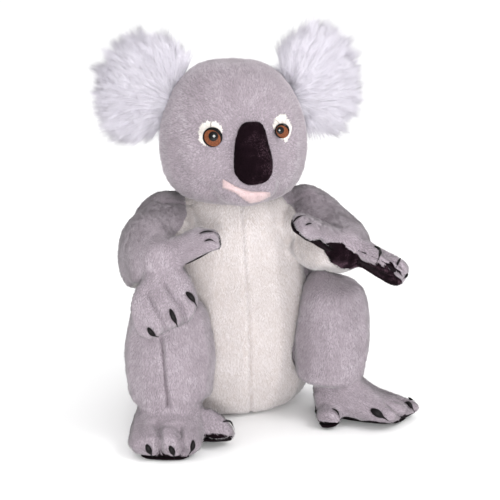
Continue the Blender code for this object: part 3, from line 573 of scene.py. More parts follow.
# Pile: tufts of fine closed spikes that grow from a skin.
PILE_MOST = 49000  # spikes in one piece
PILE_LEAST = 20  # fewer spikes than this make no piece
PILE_FOOT = 2.5  # mm over the floor, below which none grow


def pile(
    name, base, slot, material, density, length, thick, rise, flow, tone, kind=None, keep_out=None, seed=1,
    clump=3.6, pull=0.36, sway=0.3, bend=None, sections=1, spread=0.06, own=0.4, patchy=0.055,
):
    """Spikes on a piece's skin. density is per square mm, length and thick are in mm, rise is the share that
    stands up. flow gives the way that the pile lies, tone from 0, dark, to 1, light. kind is the skin's material
    that has it, and keep_out says which points have none. A tuft takes clump square mm, draws its tips together
    by the share pull and differs in tone by patchy. sway turns the flow in slow waves, spread scatters the spikes,
    bend curves those of several sections, and own is how much of its own roundness a spike shows."""
    draw = np.random.default_rng(seed)
    look = LOOK[base]
    co, nor, tri = look["points"], look["up"], look["faces"]
    middle = co[tri].mean(1)
    area = np.linalg.norm(np.cross(co[tri[:, 1]] - co[tri[:, 0]], co[tri[:, 2]] - co[tri[:, 0]]), axis=1) / 2
    if kind is not None:
        area = area * (look["kinds"] == kind)
    area = area * (middle[:, 2] > PILE_FOOT * MM)
    if keep_out is not None:
        area = area * ~keep_out(middle)
    count = int(area.sum() * 1e6 * density)
    if count < PILE_LEAST:
        return
    pick = draw.choice(len(tri), count, p=area / area.sum())
    share = draw.random((count, 2))
    share = np.where(share.sum(1, keepdims=True) > 1, 1 - share, share)
    share = np.column_stack([1 - share.sum(1), share])
    root = (co[tri[pick]] * share[:, :, None]).sum(1)
    up = unit((nor[tri[pick]] * share[:, :, None]).sum(1))
    lie = flow(root, up)
    lie = unit(lie - up * (lie * up).sum(1, keepdims=True))
    across = np.cross(up, lie)
    turn = waves(root, 0.022, seed + 50) + 0.6 * waves(root, 0.008, seed + 51)
    lie = unit(lie + across * (turn * sway)[:, None])
    long = (length(root) if callable(length) else length) * draw.uniform(0.75, 1.15, count) * MM
    stand = rise * (1 + 0.25 * waves(root, 0.010, seed + 52))
    way = unit(up * stand[:, None] + lie * (1 - rise) + draw.normal(size=(count, 3)) * spread)
    tip = root + way * long[:, None]
    leaders = draw.choice(count, max(1, int(area.sum() * 1e6 / clump)), replace=False)
    near = KDTree(len(leaders))
    for i, place in enumerate(root[leaders].tolist()):
        near.insert(place, i)
    near.balance()
    leader = leaders[np.array([near.find(r)[1] for r in root.tolist()])]
    gather = pull * draw.uniform(0.5, 1.0, count)[:, None]
    tip = tip * (1 - gather) + (root[leader] + way[leader] * long[:, None]) * gather
    shade = draw.normal(size=count)[leader]
    way = tip - root
    long = np.linalg.norm(way, axis=1)
    way = unit(way)
    keep = np.ones(count, bool)
    for i, (r, w, l) in enumerate(zip((root + up * 0.7 * MM).tolist(), way.tolist(), long.tolist())):
        hit = STOP.ray_cast(r, w, l)[3]
        if hit is not None:
            if hit < 0.35 * l:
                keep[i] = False
            else:
                long[i] = hit * 0.95
    light = tone(root) + shade * patchy + draw.normal(size=count) * 0.04
    root, up, way, long, lie, light = (a[keep] for a in (root, up, way, long, lie, light))
    if sections == 1 and len(root) > PILE_MOST:
        order = np.argsort(root[:, 0], kind="stable")
        lots = np.array_split(order, math.ceil(len(root) / PILE_MOST))
    else:
        lots = [np.arange(len(root))]
    for number, lot in enumerate(lots, 1):
        part = name if len(lots) == 1 else f"{name}_{number}"
        values = (a[lot] for a in (root, up, way, long, lie, light))
        spikes(part, look["hold"], slot, material, *values, thick, bend, sections, draw, own)


def spikes(name, hold, slot, material, root, up, way, long, lie, light, thick, bend, sections, draw, own):
    """Closed three-sided spikes as one piece, each in one or more sections from its root to its tip."""
    count = len(root)
    side = unit(np.cross(way, up) + draw.normal(size=(count, 3)) * 0.2)
    other = np.cross(way, side)
    foot = root - up * 0.4 * MM
    width = (thick / 2 * MM) * draw.uniform(0.8, 1.2, count)
    upright = 1 if own < 1 else 0.35
    rings = []
    for share in np.arange(sections) / sections:
        centre = foot + way * (long * share)[:, None]
        if bend:
            centre = centre + lie * (bend * share**2 * long)[:, None]
        for angle in (np.pi / 2, np.pi * 7 / 6, np.pi * 11 / 6):
            out = side * math.cos(angle) + other * math.sin(angle)
            place = centre + out * (width * (1 - 0.5 * share))[:, None]
            rings.append((place, unit(up * upright + out * own), share))
    end = foot + way * long[:, None]
    if bend:
        end = end + lie * (bend * long)[:, None]
    rings.append((end, up if own < 1 else unit(up * upright + way), 1.0))
    each = len(rings)
    corners = [[0, 2, 1]]
    for k in range(0, 3 * (sections - 1), 3):
        for a, b in ((0, 1), (1, 2), (2, 0)):
            corners += [[k + a, k + b, k + 3 + b], [k + a, k + 3 + b, k + 3 + a]]
    last = 3 * (sections - 1)
    corners += [[last + a, last + b, each - 1] for a, b in ((0, 1), (1, 2), (2, 0))]
    faces = (np.arange(count)[:, None, None] * each + np.array(corners)).reshape(-1, 3)
    made = triangle_mesh(name, np.stack([r[0] for r in rings], 1).reshape(-1, 3), faces)
    data = np.zeros((count, each, 3), np.float32)
    data[:, :, 0] = np.clip(light, 0.01, 0.99)[:, None]
    data[:, :, 1] = [r[2] for r in rings]
    set_vectors(made, "pile", data)
    set_vectors(made, "custom_normal", np.stack([r[1] for r in rings], 1))
    flat = data.reshape(-1, 3)[faces.ravel()][:, :2]
    made.uv_layers.new(name="OFBake").uv.foreach_set("vector", np.clip(flat, 0.01, 0.99).ravel())
    made.materials.append(material)
    piece = put(name, made)
    fix(piece, hold)


def seamed(tone, lines, depth=0.5, width=1.3):
    """A tone that is darker along seams, given as lines of pixels."""
    def seam_tone(points):
        off = from_lines(pixel_of(points), lines) / width
        front = points[:, 1] < -0.03
        return tone(points) - depth * front * np.exp(-off * off)
    return seam_tone


def mottled(base, seed=3, strength=0.14, darker=()):
    """Broad and fine patches round a base tone, and darker spots as (centre, radius, how much): these hold
    painted shade, and painted light where how much is below 0.
    """
    def tone(points):
        value = base + strength * (0.5 * waves(points, 0.035, seed) + 0.5 * waves(points, 0.009, seed + 1))
        for centre, radius, depth in darker:
            off = np.linalg.norm(points - np.array(centre), axis=1) / radius
            value = value - depth * np.exp(-off * off)
        return value
    return tone


def along(*way):
    """Pile that lies one way."""
    way = np.array(way, float)
    return lambda points, up: np.tile(way, (len(points), 1))


def away_from(*place):
    """Pile that lies away from a place."""
    place = np.array(place, float)
    return lambda points, up: points - place


# The photograph's pixels on the toy.
def pixel_of(points):
    """The photograph's pixel that shows each point."""
    camera = SCENE.camera
    turn = np.array(camera.rotation_quaternion.to_matrix())
    x, y, z = ((points - np.array(camera.location)) @ turn).T
    return np.column_stack([AXIS[0] - FOCAL * x / z, AXIS[1] + FOCAL * y / z])


def faces_camera(points, up):
    return ((np.array(SCENE.camera.location) - points) * up).sum(1) > 0
    return ((np.array(SCENE.camera.location) - points) * up).sum(1) > 0


def inside(pixels, outline):
    """Which pixels lie inside an outline."""
    odd = np.zeros(len(pixels), bool)
    x, y = pixels.T
    for (ax, ay), (bx, by) in zip(outline, outline[1:] + outline[:1]):
        cross = (ay > y) != (by > y)
        odd ^= cross & (x < ax + (bx - ax) * (y - ay) / (by - ay if by != ay else 1e-9))
    return odd


def from_lines(places, lines):
    """The distance from each place to the nearest of some lines of points."""
    near = np.full(len(places), 1e3)
    for line in lines:
        line = np.array(line, float)
        for start, end in zip(line, line[1:]):
            run = end - start
            share = np.clip((places - start) @ run / max(run @ run, 1e-12), 0, 1)
            near = np.minimum(near, np.linalg.norm(places - start - share[:, None] * run, axis=1))
    return near


def spot(pixel, depth):
    """The place that a pixel shows on the upright plane across the toy at y = depth, in mm."""
    place, way = (np.array(v) for v in camera_ray(*pixel))
    return place + way * ((depth * MM - place[1]) / way[1])


def drawn(*pulls):
    """Each pull is (pixel, pixel it should be at, y in mm, radius in mm): a soft move across the view."""
    def move(points, up):
        shift = np.zeros_like(points)
        for start, end, depth, radius in pulls:
            here, there = spot(start, depth), spot(end, depth)
            off = np.linalg.norm(points - here, axis=1) / (radius * MM)
            shift += np.exp(-off * off)[:, None] * (there - here)
        return points + shift
    return move


def grooves(nodes, lines, width, depth):
    """Presses lines of pixels into the side of a skin that shows them. Width and depth are in mm."""
    tree = tree_of([NODES[n].data for n in nodes])
    def move(points, up):
        pixels = pixel_of(points)
        seen = faces_camera(points, up)
        for line in lines:
            marks = []
            for a, b in zip(line, line[1:]):
                for share in np.linspace(0, 1, 5):
                    hit = tree.ray_cast(*camera_ray(*(np.array(a) + (np.array(b) - np.array(a)) * share)))[0]
                    if hit is not None:
                        marks.append(hit)
            if len(marks) < 2:
                continue
            near = seen & (from_lines(points, [marks]) < 12 * MM)
            off = from_lines(pixels[near], [line]) * PIXEL / width
            points = points.copy()
            points[near] -= up[near] * (depth * MM * np.exp(-off * off))[:, None]
        return points
    return move


# The scene.
place_camera()
place_lights()
place_floor()

LEG_SEAM = [(161, 338), (163, 360), (166.4, 390), (168, 405.8)]
BELLY_SEAM = [(242, 200), (243, 230), (250, 320), (251, 410)]
MATERIALS = [GREY_CLOTH, CREAM_CLOTH, VELVET]
GREY, CREAM, BLACK = range(3)
BELLY_NODES = ["belly_right_panel", "belly_left_panel"]
BELLY_TREE = tree_of([NODES[n].data for n in BELLY_NODES])
BACK_TREE = tree_of([NODES["torso_back_panel"].data])
BELLY_SPREAD = 0.006


def belly_depth(points):
    """How far each point is on the belly's side of the seam between belly and back, in metres."""
    points = points.tolist()
    return distances(BACK_TREE, points) - distances(BELLY_TREE, points)


def flat_base(points, up):
    """The seat and soles lie flat on what they stand on."""
    points = points.copy()
    points[:, 2] = np.maximum(points[:, 2], 0.5 * MM)
    return points


def sew_belly(points, up):
    """Presses in the seam round the belly and the one down its middle."""
    front = (points[:, 1] < -0.02) & (np.abs(points[:, 0]) < 0.09)
    near = np.flatnonzero(front)
    edge = np.full(len(points), 1.0)
    edge[near] = belly_depth(points[near]) + BELLY_SPREAD
    groove = 1.0 * np.exp(-((edge / 0.0025) ** 2))
    seam = from_lines(pixel_of(points[near]), [BELLY_SEAM]) / 1.8
    groove[near] += (edge[near] > 0.004) * 1.9 * np.exp(-seam * seam)
    return points - up * groove[:, None] * MM


TORSO, RIGHT_ARM, LEFT_ARM, LEFT_FINGER = 0, 1, 4, 6  # places in the upper body's groups


def upper_kind(points, up, owner):
    """Which cloth covers each place on the torso, arms and hands."""
    kind = np.full(len(points), GREY)
    torso = owner == TORSO
    kind[torso] = np.where(belly_depth(points[torso]) > -BELLY_SPREAD, CREAM, GREY)
    for arm, sign in ((RIGHT_ARM, -1), (LEFT_ARM, 1)):
        inward = up @ unit(np.array((-0.8 * sign, -0.1, -0.6)))
        kind[(owner == arm) & (inward > 0.35)] = CREAM
    pixels = pixel_of(points)
    seen = faces_camera(points, up)
    back = points[:, 1] > -0.085
    kind[seen & back & (owner <= RIGHT_ARM) & inside(pixels, CHEST)] = CREAM
    kind[seen & (owner == LEFT_ARM) & inside(pixels, FOREARM)] = CREAM
    kind[seen & (owner >= LEFT_ARM) & inside(pixels, PALM)] = BLACK
    under = up @ unit(np.array((-0.45, -0.35, -0.75)))
    kind[(owner == LEFT_FINGER) & (under > 0.72) & (points[:, 0] > 0.085) & ~seen] = BLACK
    return kind


CHEST = [(185, 196), (187.2, 215), (180.6, 228.6), (168, 243), (200, 262), (250, 300), (250, 196)]
FOREARM = [
    (280, 197), (286.3, 215.8), (294.7, 224), (297, 232), (308, 238), (323, 244), (324, 252), (330, 262),
    (340, 268), (353, 270), (361, 269), (361, 282), (315, 280), (287, 270),
]
PALM = [
    (323, 244), (324, 251.7), (330, 262), (340.3, 268), (353.2, 269.8), (361, 269), (368, 282), (385, 292),
    (402, 294), (402.5, 283), (401, 279), (396, 276), (393, 271), (390, 269.5), (386, 264), (382, 266.5),
    (378, 261.5), (373, 264.5), (369, 262), (364, 263.5), (360, 258),
    (357.5, 253.4), (347.2, 248.2), (343.7, 243), (331.7, 242),
]
BODY_MOVES = drawn(
    ((138, 198), (142, 201.5), -20, 20), ((127, 210), (131, 212), -25, 15), ((113, 250), (116, 249), -45, 15),
    ((133, 282), (128, 288), -60, 15), ((141, 288), (129, 291), -90, 15),
    ((143, 302), (131, 303), -112, 14), ((147, 320), (138, 324), -120, 11),
    ((154, 327), (151, 337), -125, 11),
    ((203, 318), (198, 311), -130, 9), ((197, 299), (194, 295), -128, 9),
    ((213, 262), (211, 254), -124, 9), ((197, 268), (196, 263), -122, 9), ((209, 223.5), (209, 229), -110, 9),
    ((336, 188), (331, 193), -25, 16), ((321, 182), (319, 185), -20, 14),
    ((353, 205), (349, 208), -35, 14), ((358, 213), (356, 218), -66, 13),
    ((367, 222), (364, 223), -62, 13),
    ((318, 249), (318, 241), -122, 9), ((333, 251), (333, 247), -118, 8), ((300, 240), (301, 236), -122, 8),
    ((378, 281), (377, 277.5), -118, 12), ((397, 287.5), (399, 283.5), -125, 10),
)
PALM_DROP = drawn(
    ((362, 256), (362, 263), -120, 8), ((376, 262), (376, 267), -120, 8), ((389, 268), (389, 272), -124, 8),
)
HAND_LINES = [
    [(165.3, 284.7), (171.4, 294.9), (179.6, 304), (184, 316), (187, 324)],
    [(147, 292), (152, 305), (161, 318), (166, 330), (168, 337)],
]
LEFT_LINES = [[(375, 240), (383, 252), (390, 264), (392, 272)], [(388, 252), (396, 262), (402, 270)]]


SHOULDERS = {"right": (-0.058, -0.005, 0.183), "left": (0.058, -0.005, 0.183)}
WRISTS = {"right": (-0.080, -0.098, 0.169), "left": (0.078, -0.097, 0.171)}
HAND_WAYS = {
    "right": {"thumb": (0.046, -0.022, 0.020), "finger": (0.008, -0.036, -0.050)},
    "left": {"thumb": (-0.050, -0.024, 0.026), "finger": (0.047, -0.028, -0.026)},
}
TORSO_NODES = ["torso_back_panel", *BELLY_NODES, "torso_stuffing", "seat_pellet_bag"]
FILLS = [
    ((-0.060, -0.042, 0.180), (0.028, 0.032, 0.018)),
    ((0.060, -0.042, 0.180), (0.028, 0.032, 0.018)),
    ((-0.083, -0.058, 0.184), (0.025, 0.034, 0.020)),
    ((0.086, -0.068, 0.177), (0.022, 0.036, 0.020)),
    ((0.062, -0.068, 0.160), (0.024, 0.031, 0.0185)),
]
CREASES = [((-0.080, -0.052, 0.191), 0.040), ((0.087, -0.066, 0.188), 0.034), ((0.034, -0.086, 0.160), 0.018)]

upper = {"torso_plush": group(TORSO_NODES, 1.2, 0.5, 2.2, 0.85, ("torso",), TORSO_NODES[:3])}
for side in SIDES:
    arm = f"{side}_arm"
    down_arm = np.array(WRISTS[side]) - np.array(SHOULDERS[side])
    hold = bend_from("torso", arm, SHOULDERS[side], down_arm, 0.030)
    upper[f"{arm}_plush"] = group([arm], 1.2, 0.5, 2.2, 0.8, hold)
    for part, way in HAND_WAYS[side].items():
        hold = bend_from(arm, f"{side}_hand", WRISTS[side], way, 0.012)
        upper[f"{side}_{part}_plush"] = group([f"{side}_{part}_lobe"], 0.3, 0.1, 1.0, 0.7, hold)
pieces = fused(
    upper, 1.4, FILLS, 34,
    [
        BODY_MOVES, PALM_DROP, sew_belly,
        grooves(["right_finger_lobe"], HAND_LINES, 2.0, 4.2),
        grooves(["left_finger_lobe"], LEFT_LINES, 2.0, 4.2),
        flat_base,
    ],
    upper_kind,
    creases=CREASES,
)

HEAD_SHIFT = np.array((-4.5, 0, 1.5)) * MM
head = skin(
    "head_plush", "head", ["face_panel", "head_back_panel", "head_stuffing"], MATERIALS,
    1.8, 10, 2.0,
    [
        lambda points, up: points + HEAD_SHIFT,
        grooves(["face_panel"], [[(176, 163), (184, 172), (196, 182), (212, 191), (224, 197)]], 3.2, 1.3),
        grooves(["face_panel"], [[(229, 178), (228, 160), (231, 146)]], 4.0, 0.9),
    ],
)


ANKLES = {"right": 0.0358, "left": 0.043}
LEG_MOVES = {
    "right": [
        drawn(
            ((205, 444), (205, 437), -110, 8), ((222, 449), (222, 440), -116, 9),
            ((232, 444), (233, 438), -113, 7),
            ((204, 408), (202, 402), -95, 10), ((211, 420), (211, 410), -97, 10),
            ((224, 424.5), (224, 419), -106, 8),
        ),
        grooves(["right_leg"], [LEG_SEAM], 2.2, 3.6),
        grooves(
            ["right_foot"],
            [[(156.5, 423), (159, 433), (159, 448), (160, 457)], [(179.7, 427), (181.4, 441.4), (184, 457)]],
            2.6, 6.0,
        ),
        grooves(["right_foot"], [[(157, 425), (170, 424.5), (180, 427)]], 1.7, 1.0),
    ],
    "left": [
        drawn(
            ((375, 331), (370, 331), -55, 20), ((371, 368), (361, 366), -60, 18),
            ((325, 276), (325, 271), -50, 22),
            ((369, 288), (365, 292), -50, 12), ((360, 387), (356, 381), -70, 12),
            ((336, 428), (336, 424), -96, 10), ((404, 400), (411, 403), -85, 18),
            ((392, 424), (396, 420), -100, 14),
            ((306, 390), (314, 390), -46, 15), ((306, 404), (314, 404), -60, 11),
            ((319, 425), (322, 423), -92, 8), ((382, 380), (382, 385), -78, 15), ((379, 379), (379, 389), -58, 13),
            ((397, 386), (399, 393), -64, 13), ((408, 402), (416, 405), -82, 12),
            ((318, 278), (318, 270), -50, 14),
        ),
        grooves(
            ["left_foot"],
            [[(387, 401), (396, 408), (400, 414), (401, 421)], [(401, 396), (409, 402), (413, 409), (415, 414)]],
            2.4, 4.4,
        ),
    ],
}


def leg_split(height):
    return lambda points: (points[:, 2] < height).astype(int)


BIG_TOE_SOLE = [
    (204, 434), (212, 433), (222, 434), (231, 436), (238, 438), (233, 446), (215, 446), (204, 440),
]


def foot_kind(points, up, owner):
    """The soles and what shows of them round the toes are black."""
    kind = np.full(len(points), GREY)
    kind[points[:, 2] < (5.5 + 3.0 * (points[:, 0] > 0) + 1.2 * waves(points, 0.016, 9)) * MM] = BLACK
    right_foot = (owner == 1) & (points[:, 0] < 0)
    kind[right_foot & faces_camera(points, up) & inside(pixel_of(points), BIG_TOE_SOLE)] = BLACK
    return kind


ANKLE_FILLS = {
    "right": [((-0.0705, -0.076, 0.036), (0.031, 0.030, 0.016))],
    "left": [((0.0818, -0.056, 0.040), (0.027, 0.027, 0.016))],
}
for side in SIDES:
    lower = {
        f"{side}_leg_plush": group([f"{side}_leg"], 0.5, 0.5, 1.6, 0.8, (f"{side}_leg",)),
        f"{side}_foot_plush": group([f"{side}_foot", f"{side}_big_toe"], 0.4, 0.08, 1.2, 0.7, (f"{side}_foot",)),
    }
    moves = [*LEG_MOVES[side], flat_base]
    pieces |= fused(lower, 1.2, ANKLE_FILLS[side], 40, moves, foot_kind, leg_split(ANKLES[side]))

EAR_LEANS = {"right": (0, 0, -1), "left": (-5, 0, 4)}  # mm at the ear's tip
EAR_WAY = (0.88295, 0, 0.46947)
EAR_ROOT = (0.057, -0.010, 0.28501)
EAR_REACH = 0.74


def ear_skin(side):
    """The ear's flat padded core, well inside the reach of its long fur."""
    mirror = (SIGNS[side], 1, 1)
    out, root = np.array(EAR_WAY) * mirror, np.array(EAR_ROOT) * mirror

    def move(points, up):
        off = points - root
        reach = off @ out
        middle = off - np.outer(reach, out)
        lift = np.outer(np.clip(reach / 0.05, 0, 1), EAR_LEANS[side]) * MM
        stretch = np.outer(np.where(reach > 0, reach * EAR_REACH, reach), out)
        return root + stretch + middle * (0.80, 0.5, 0.80) + lift

    return skin(
        f"{side}_ear_plush", f"{side}_ear", [f"{side}_ear"], [EAR_CLOTH], 1.8, 6, 1.0, [move]
    )


for side in SIDES:
    pieces[f"{side}_ear_plush"] = ear_skin(side)
pieces["head_plush"] = head

NOSE_MOVES = drawn(
    ((250, 178), (251, 187), -105, 16), ((272, 160), (276.5, 164), -105, 12),
    ((241, 143), (232.5, 143), -100, 12),
    ((240, 128), (236.5, 127), -100, 9), ((268, 177), (272.5, 180), -105, 10),
)
nose = skin("nose_cover", "head", ["nose"], [VELVET], 1.2, 8, 0.8, [NOSE_MOVES])


def shift(*way):
    """Moves a whole skin by some mm."""
    return lambda points, up: points + np.array(way) * MM


PAD_INSETS = {"right_finger_pad": 2.6, "left_finger_pad": 2.8, "right_big_toe_pad": 1.5}
PAD_SHIFTS = {"right_finger_pad": shift(0, 0.5, 2.2), "left_finger_pad": shift(1.6, 1.5, 2.3)}
pads = []
for side in SIDES:
    for part, body in (("thumb_pad", "hand"), ("finger_pad", "hand"), ("sole_pad", "foot"),
    ("big_toe_pad", "foot")):
        name = f"{side}_{part}"
        follow = [BODY_MOVES] if body == "hand" else [LEG_MOVES[side][0], flat_base]
        if name in PAD_SHIFTS:
            follow.append(PAD_SHIFTS[name])
        inset = PAD_INSETS.get(name, 0.3)
        pads.append(skin(
            f"{name}_cover", f"{side}_{body}", [name], [VELVET], 0.8, 2, inset, follow
        ))

# Eyes: how far off its axis each solid faces, then each dome's size, its moves in mm, and where it looks.
EYE_SPREAD = 27
EYE_SIDES = 40
EYE_RADII = {"right": 0.0082, "left": 0.0063}
EYE_CURVES = {"right": 0.019, "left": 0.0125}
EYE_FORWARD = {"right": 0.0030, "left": 0.0024}
EYE_TURNS = {"right": -15, "left": -1}
GAZE = {"right": (-0.10, -0.12), "left": (0.30, -0.12)}
EYE_SHIFTS = {"right": (-5.5, 1.5, -0.5), "left": (-1.2, 0, 3.0)}


def eye_material():
    """Amber iris with fine spokes, black pupil, and a black rim that is thicker over the top."""
    material, nodes, links, shader = new_material("amber_eye")
    data = add_node(nodes, "Attribute", attribute_name="gaze")
    lid = add_node(nodes, "Attribute", attribute_name="lid")
    size = add_node(nodes, "VectorMath", operation="LENGTH")
    lean = {"Rotation": (0, 0, math.radians(-45)), "Location": (0.06, 0.07, 0)}
    tilt = add_node(nodes, "Mapping", lean, vector_type="POINT")
    squeeze = add_node(nodes, "VectorMath", {1: (1.14, 0.94, 1)}, operation="MULTIPLY")
    rim = add_node(nodes, "VectorMath", operation="LENGTH")
    spokes = add_node(nodes, "TexNoise", {"Scale": 9, "Detail": 4})
    iris = ramp(nodes, [(0.30, rgb(54, 25, 13)), (0.66, rgb(128, 72, 42))])
    pupil = ramp(nodes, [(0.47, (0, 0, 0, 1)), (0.52, (1, 1, 1, 1))])
    edge = ramp(nodes, [(0.83, (1, 1, 1, 1)), (0.88, (0.004, 0.003, 0.003, 1))])
    first, second = multiplier(nodes), multiplier(nodes)
    wire(
        links, (data, "Vector", size, 0), (lid, "Vector", tilt, "Vector"), (tilt, "Vector", squeeze, 0),
        (data, "Vector", spokes, "Vector"), (squeeze, "Vector", rim, 0), (spokes, "Fac", iris, 0),
        (size, "Value", pupil, 0), (rim, "Value", edge, 0), (iris, "Color", first, "A"),
        (pupil, "Color", first, "B"), (first, "Result", second, "A"), (edge, "Color", second, "B"),
        (second, "Result", shader, "Base Color"),
    )
    set_inputs(shader, {"Roughness": 0.04, "Specular IOR Level": 0.2})
    return material


AMBER = eye_material()


def stand_in(name, mesh, material, body, node):
    """The piece that takes one solid's place and rides on its body."""
    mesh.materials.append(material)
    piece = put(name, mesh)
    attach(piece, body)
    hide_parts(node)
    return piece


def eye(side):
    """A domed eye with a flat back and a stem, its pattern turned to where the toy looks, and its place."""
    radius, curve = EYE_RADII[side], EYE_CURVES[side]
    angle = math.radians(EYE_SPREAD)
    out = Vector((SIGNS[side] * math.sin(angle), -math.cos(angle), 0))
    co = points_of(NODES[f"{side}_eye"].data)
    reach = co @ np.array(out)
    front = co[reach > reach.max() - 0.005]
    fit = np.column_stack([2 * front, np.ones(len(front))])
    centre = Vector(np.linalg.lstsq(fit, (front**2).sum(1), rcond=None)[0][:3])
    centre += Vector(EYE_SHIFTS[side]) * MM
    centre += out * EYE_FORWARD[side]
    top = curve - math.sqrt(curve**2 - radius**2)
    lean = np.linspace(0, math.asin(radius / curve), 14)
    profile = [(math.sin(a) * curve, math.cos(a) * curve - curve + top) for a in lean]
    profile += [(radius * 1.01, -0.0004), (radius * 0.98, -0.0030), (radius * 0.90, -0.0036)]
    profile += [(0.0022, -0.0040), (0.0020, -0.0075), (0, -0.0080)]
    angle = math.radians(EYE_TURNS[side])
    out = Vector((math.sin(angle), -math.cos(angle), 0.03)).normalized()
    turn = out.to_track_quat("Z", "Y")
    points, rows, faces = [], [], []
    round_angles = np.linspace(0, 2 * math.pi, EYE_SIDES, endpoint=False)
    for wide, height in profile:
        ring = [(wide * math.cos(a), wide * math.sin(a), height) for a in round_angles]
        ring = ring if wide > 1e-6 else ring[:1]
        rows.append(range(len(points), len(points) + len(ring)))
        points += [tuple(centre + turn @ Vector(p)) for p in ring]
    for low, high in zip(rows, rows[1:]):
        for k in range(EYE_SIDES):
            quad = [low[k % len(low)], low[(k + 1) % len(low)], high[(k + 1) % len(high)], high[k % len(high)]]
            faces.append(list(dict.fromkeys(quad)))
    mesh = solid_mesh(f"{side}_eye_dome", points, faces)
    across = unit(np.array((-out.y, out.x, 0)))
    off = (points_of(mesh) - np.array(centre)) / radius
    behind = np.where(off @ np.array(out) < -0.02, 2.0, 0.0)
    for name, (right, up) in (("gaze", GAZE[side]), ("lid", (0, 0))):
        set_vectors(mesh, name, np.column_stack([off @ across + right, off[:, 2] + up, behind]))
    return stand_in(f"{side}_eye_dome", mesh, AMBER, "head", f"{side}_eye"), centre


HEAD_TREE = tree_of([head.data])
CLOTH_ROWS = 10
EDGE_STEPS = 6


def on_face(pixel):
    """The place on the head, and the way it faces, that a pixel of the photograph shows."""
    hit, facing, _, _ = HEAD_TREE.ray_cast(*camera_ray(*pixel))
    return np.array(hit), np.array(facing)


def applique(name, node, material, rim, rise, thick, rough=0.0):
    """A thin piece of cloth laid on the head: rim is its outline in the photograph's pixels, round its middle.
    It stands off the head by rise and is as thick as thick, in mm, and rough unsettles its edge."""
    draw = np.random.default_rng(5)
    rim = np.array(rim, float)
    middle = rim.mean(0)
    fine = []
    for a, b in zip(rim, np.roll(rim, -1, 0)):
        fine += [a + (b - a) * t for t in np.linspace(0, 1, EDGE_STEPS, endpoint=False)]
    fine = np.array(fine) + draw.normal(size=(len(fine), 2)) * rough
    top = []
    for share in np.linspace(0, 1, CLOTH_ROWS):
        for corner in fine if share else fine[:1]:
            hit, facing = on_face(middle + (corner - middle) * share)
            top.append(hit + facing * (rise * (1 - 0.75 * share**4)) * MM)
    count = len(fine)
    top = np.array(top)
    under = top - np.tile(unit(on_face(middle)[1]), (len(top), 1)) * thick * MM
    size = len(top)
    faces = []
    for r in range(CLOTH_ROWS - 1):
        for k in range(count):
            a = 0 if r == 0 else 1 + (r - 1) * count + k
            b = 0 if r == 0 else 1 + (r - 1) * count + (k + 1) % count
            c, d = 1 + r * count + (k + 1) % count, 1 + r * count + k
            faces.append(list(dict.fromkeys((a, b, c, d))))
    under_faces = [[i + size for i in reversed(f)] for f in faces]
    last = size - count
    edge = [(last + k, last + (k + 1) % count) for k in range(count)]
    sides = [[a, b, b + size, a + size] for a, b in edge]
    mesh = solid_mesh(name, np.concatenate([top, under]).tolist(), faces + under_faces + sides)
    piece = stand_in(name, mesh, material, "head", node)
    faces = triangles_of(mesh)
    faces = faces[faces.max(1) < size]
    LOOK[name] = {
        "points": points_of(mesh), "up": normals_of(mesh), "faces": faces, "kinds": np.zeros(len(faces)),
        "hold": ("head",),
    }
    return piece


PATCH_RIMS = {
    "right": [
        (199.5, 141), (199, 132), (201.5, 125), (208, 122), (216, 123), (221.5, 127), (222, 134),
        (219, 141), (213, 145.5), (205, 145.5),
    ],
    "left": [
        (273, 126), (275, 119), (280, 115), (285, 115), (288.5, 122), (291, 127), (290, 135),
        (286.5, 141.5), (283, 140), (276, 134),
    ],
}
MOUTH_RIM = [
    (223, 179.5), (231, 184), (239.5, 188), (251, 191.5), (262.5, 191.5), (270, 192.5), (270, 195.5),
    (259, 201), (250.5, 202.5), (243.5, 198.7), (236, 192.8), (223, 187),
]
eyes = {side: eye(side) for side in SIDES}
patches = [
    applique(f"{s}_eye_surround", f"{s}_eye_patch", FELT, PATCH_RIMS[s], 1.0, 1.6, rough=0.5)
    for s in SIDES
]
mouth = applique("mouth_cover", "mouth_patch", PINK, MOUTH_RIM, 2.2, 3.0)

for name, node in NODES.items():
    if "washer" in name:
        node.data.materials.clear()
        node.data.materials.append(PLASTIC)


def on_skin(tree, pixel):
    """Where a pixel shows a skin, or the place on the skin that is nearest to what the pixel shows."""
    place, way = camera_ray(*pixel)
    hit, up, _, _ = tree.ray_cast(place, way)
    if hit is None:
        found = [tree.find_nearest(place + way * reach) for reach in np.arange(0.75, 1.15, 0.002)]
        hit, up, _, _ = min(found, key=lambda f: f[3])
    return hit, up


def relax_line(values, rounds):
    """Smooths a row of places and keeps its ends."""
    for _ in range(rounds):
        values = np.concatenate([values[:1], (values[:-2] + values[1:-1] * 2 + values[2:]) / 4, values[-1:]])
    return values


CLAW_STEPS = 13
CLAW_SIDES = 12
CLAW_BROAD = 0.35  # where along a claw it is broadest


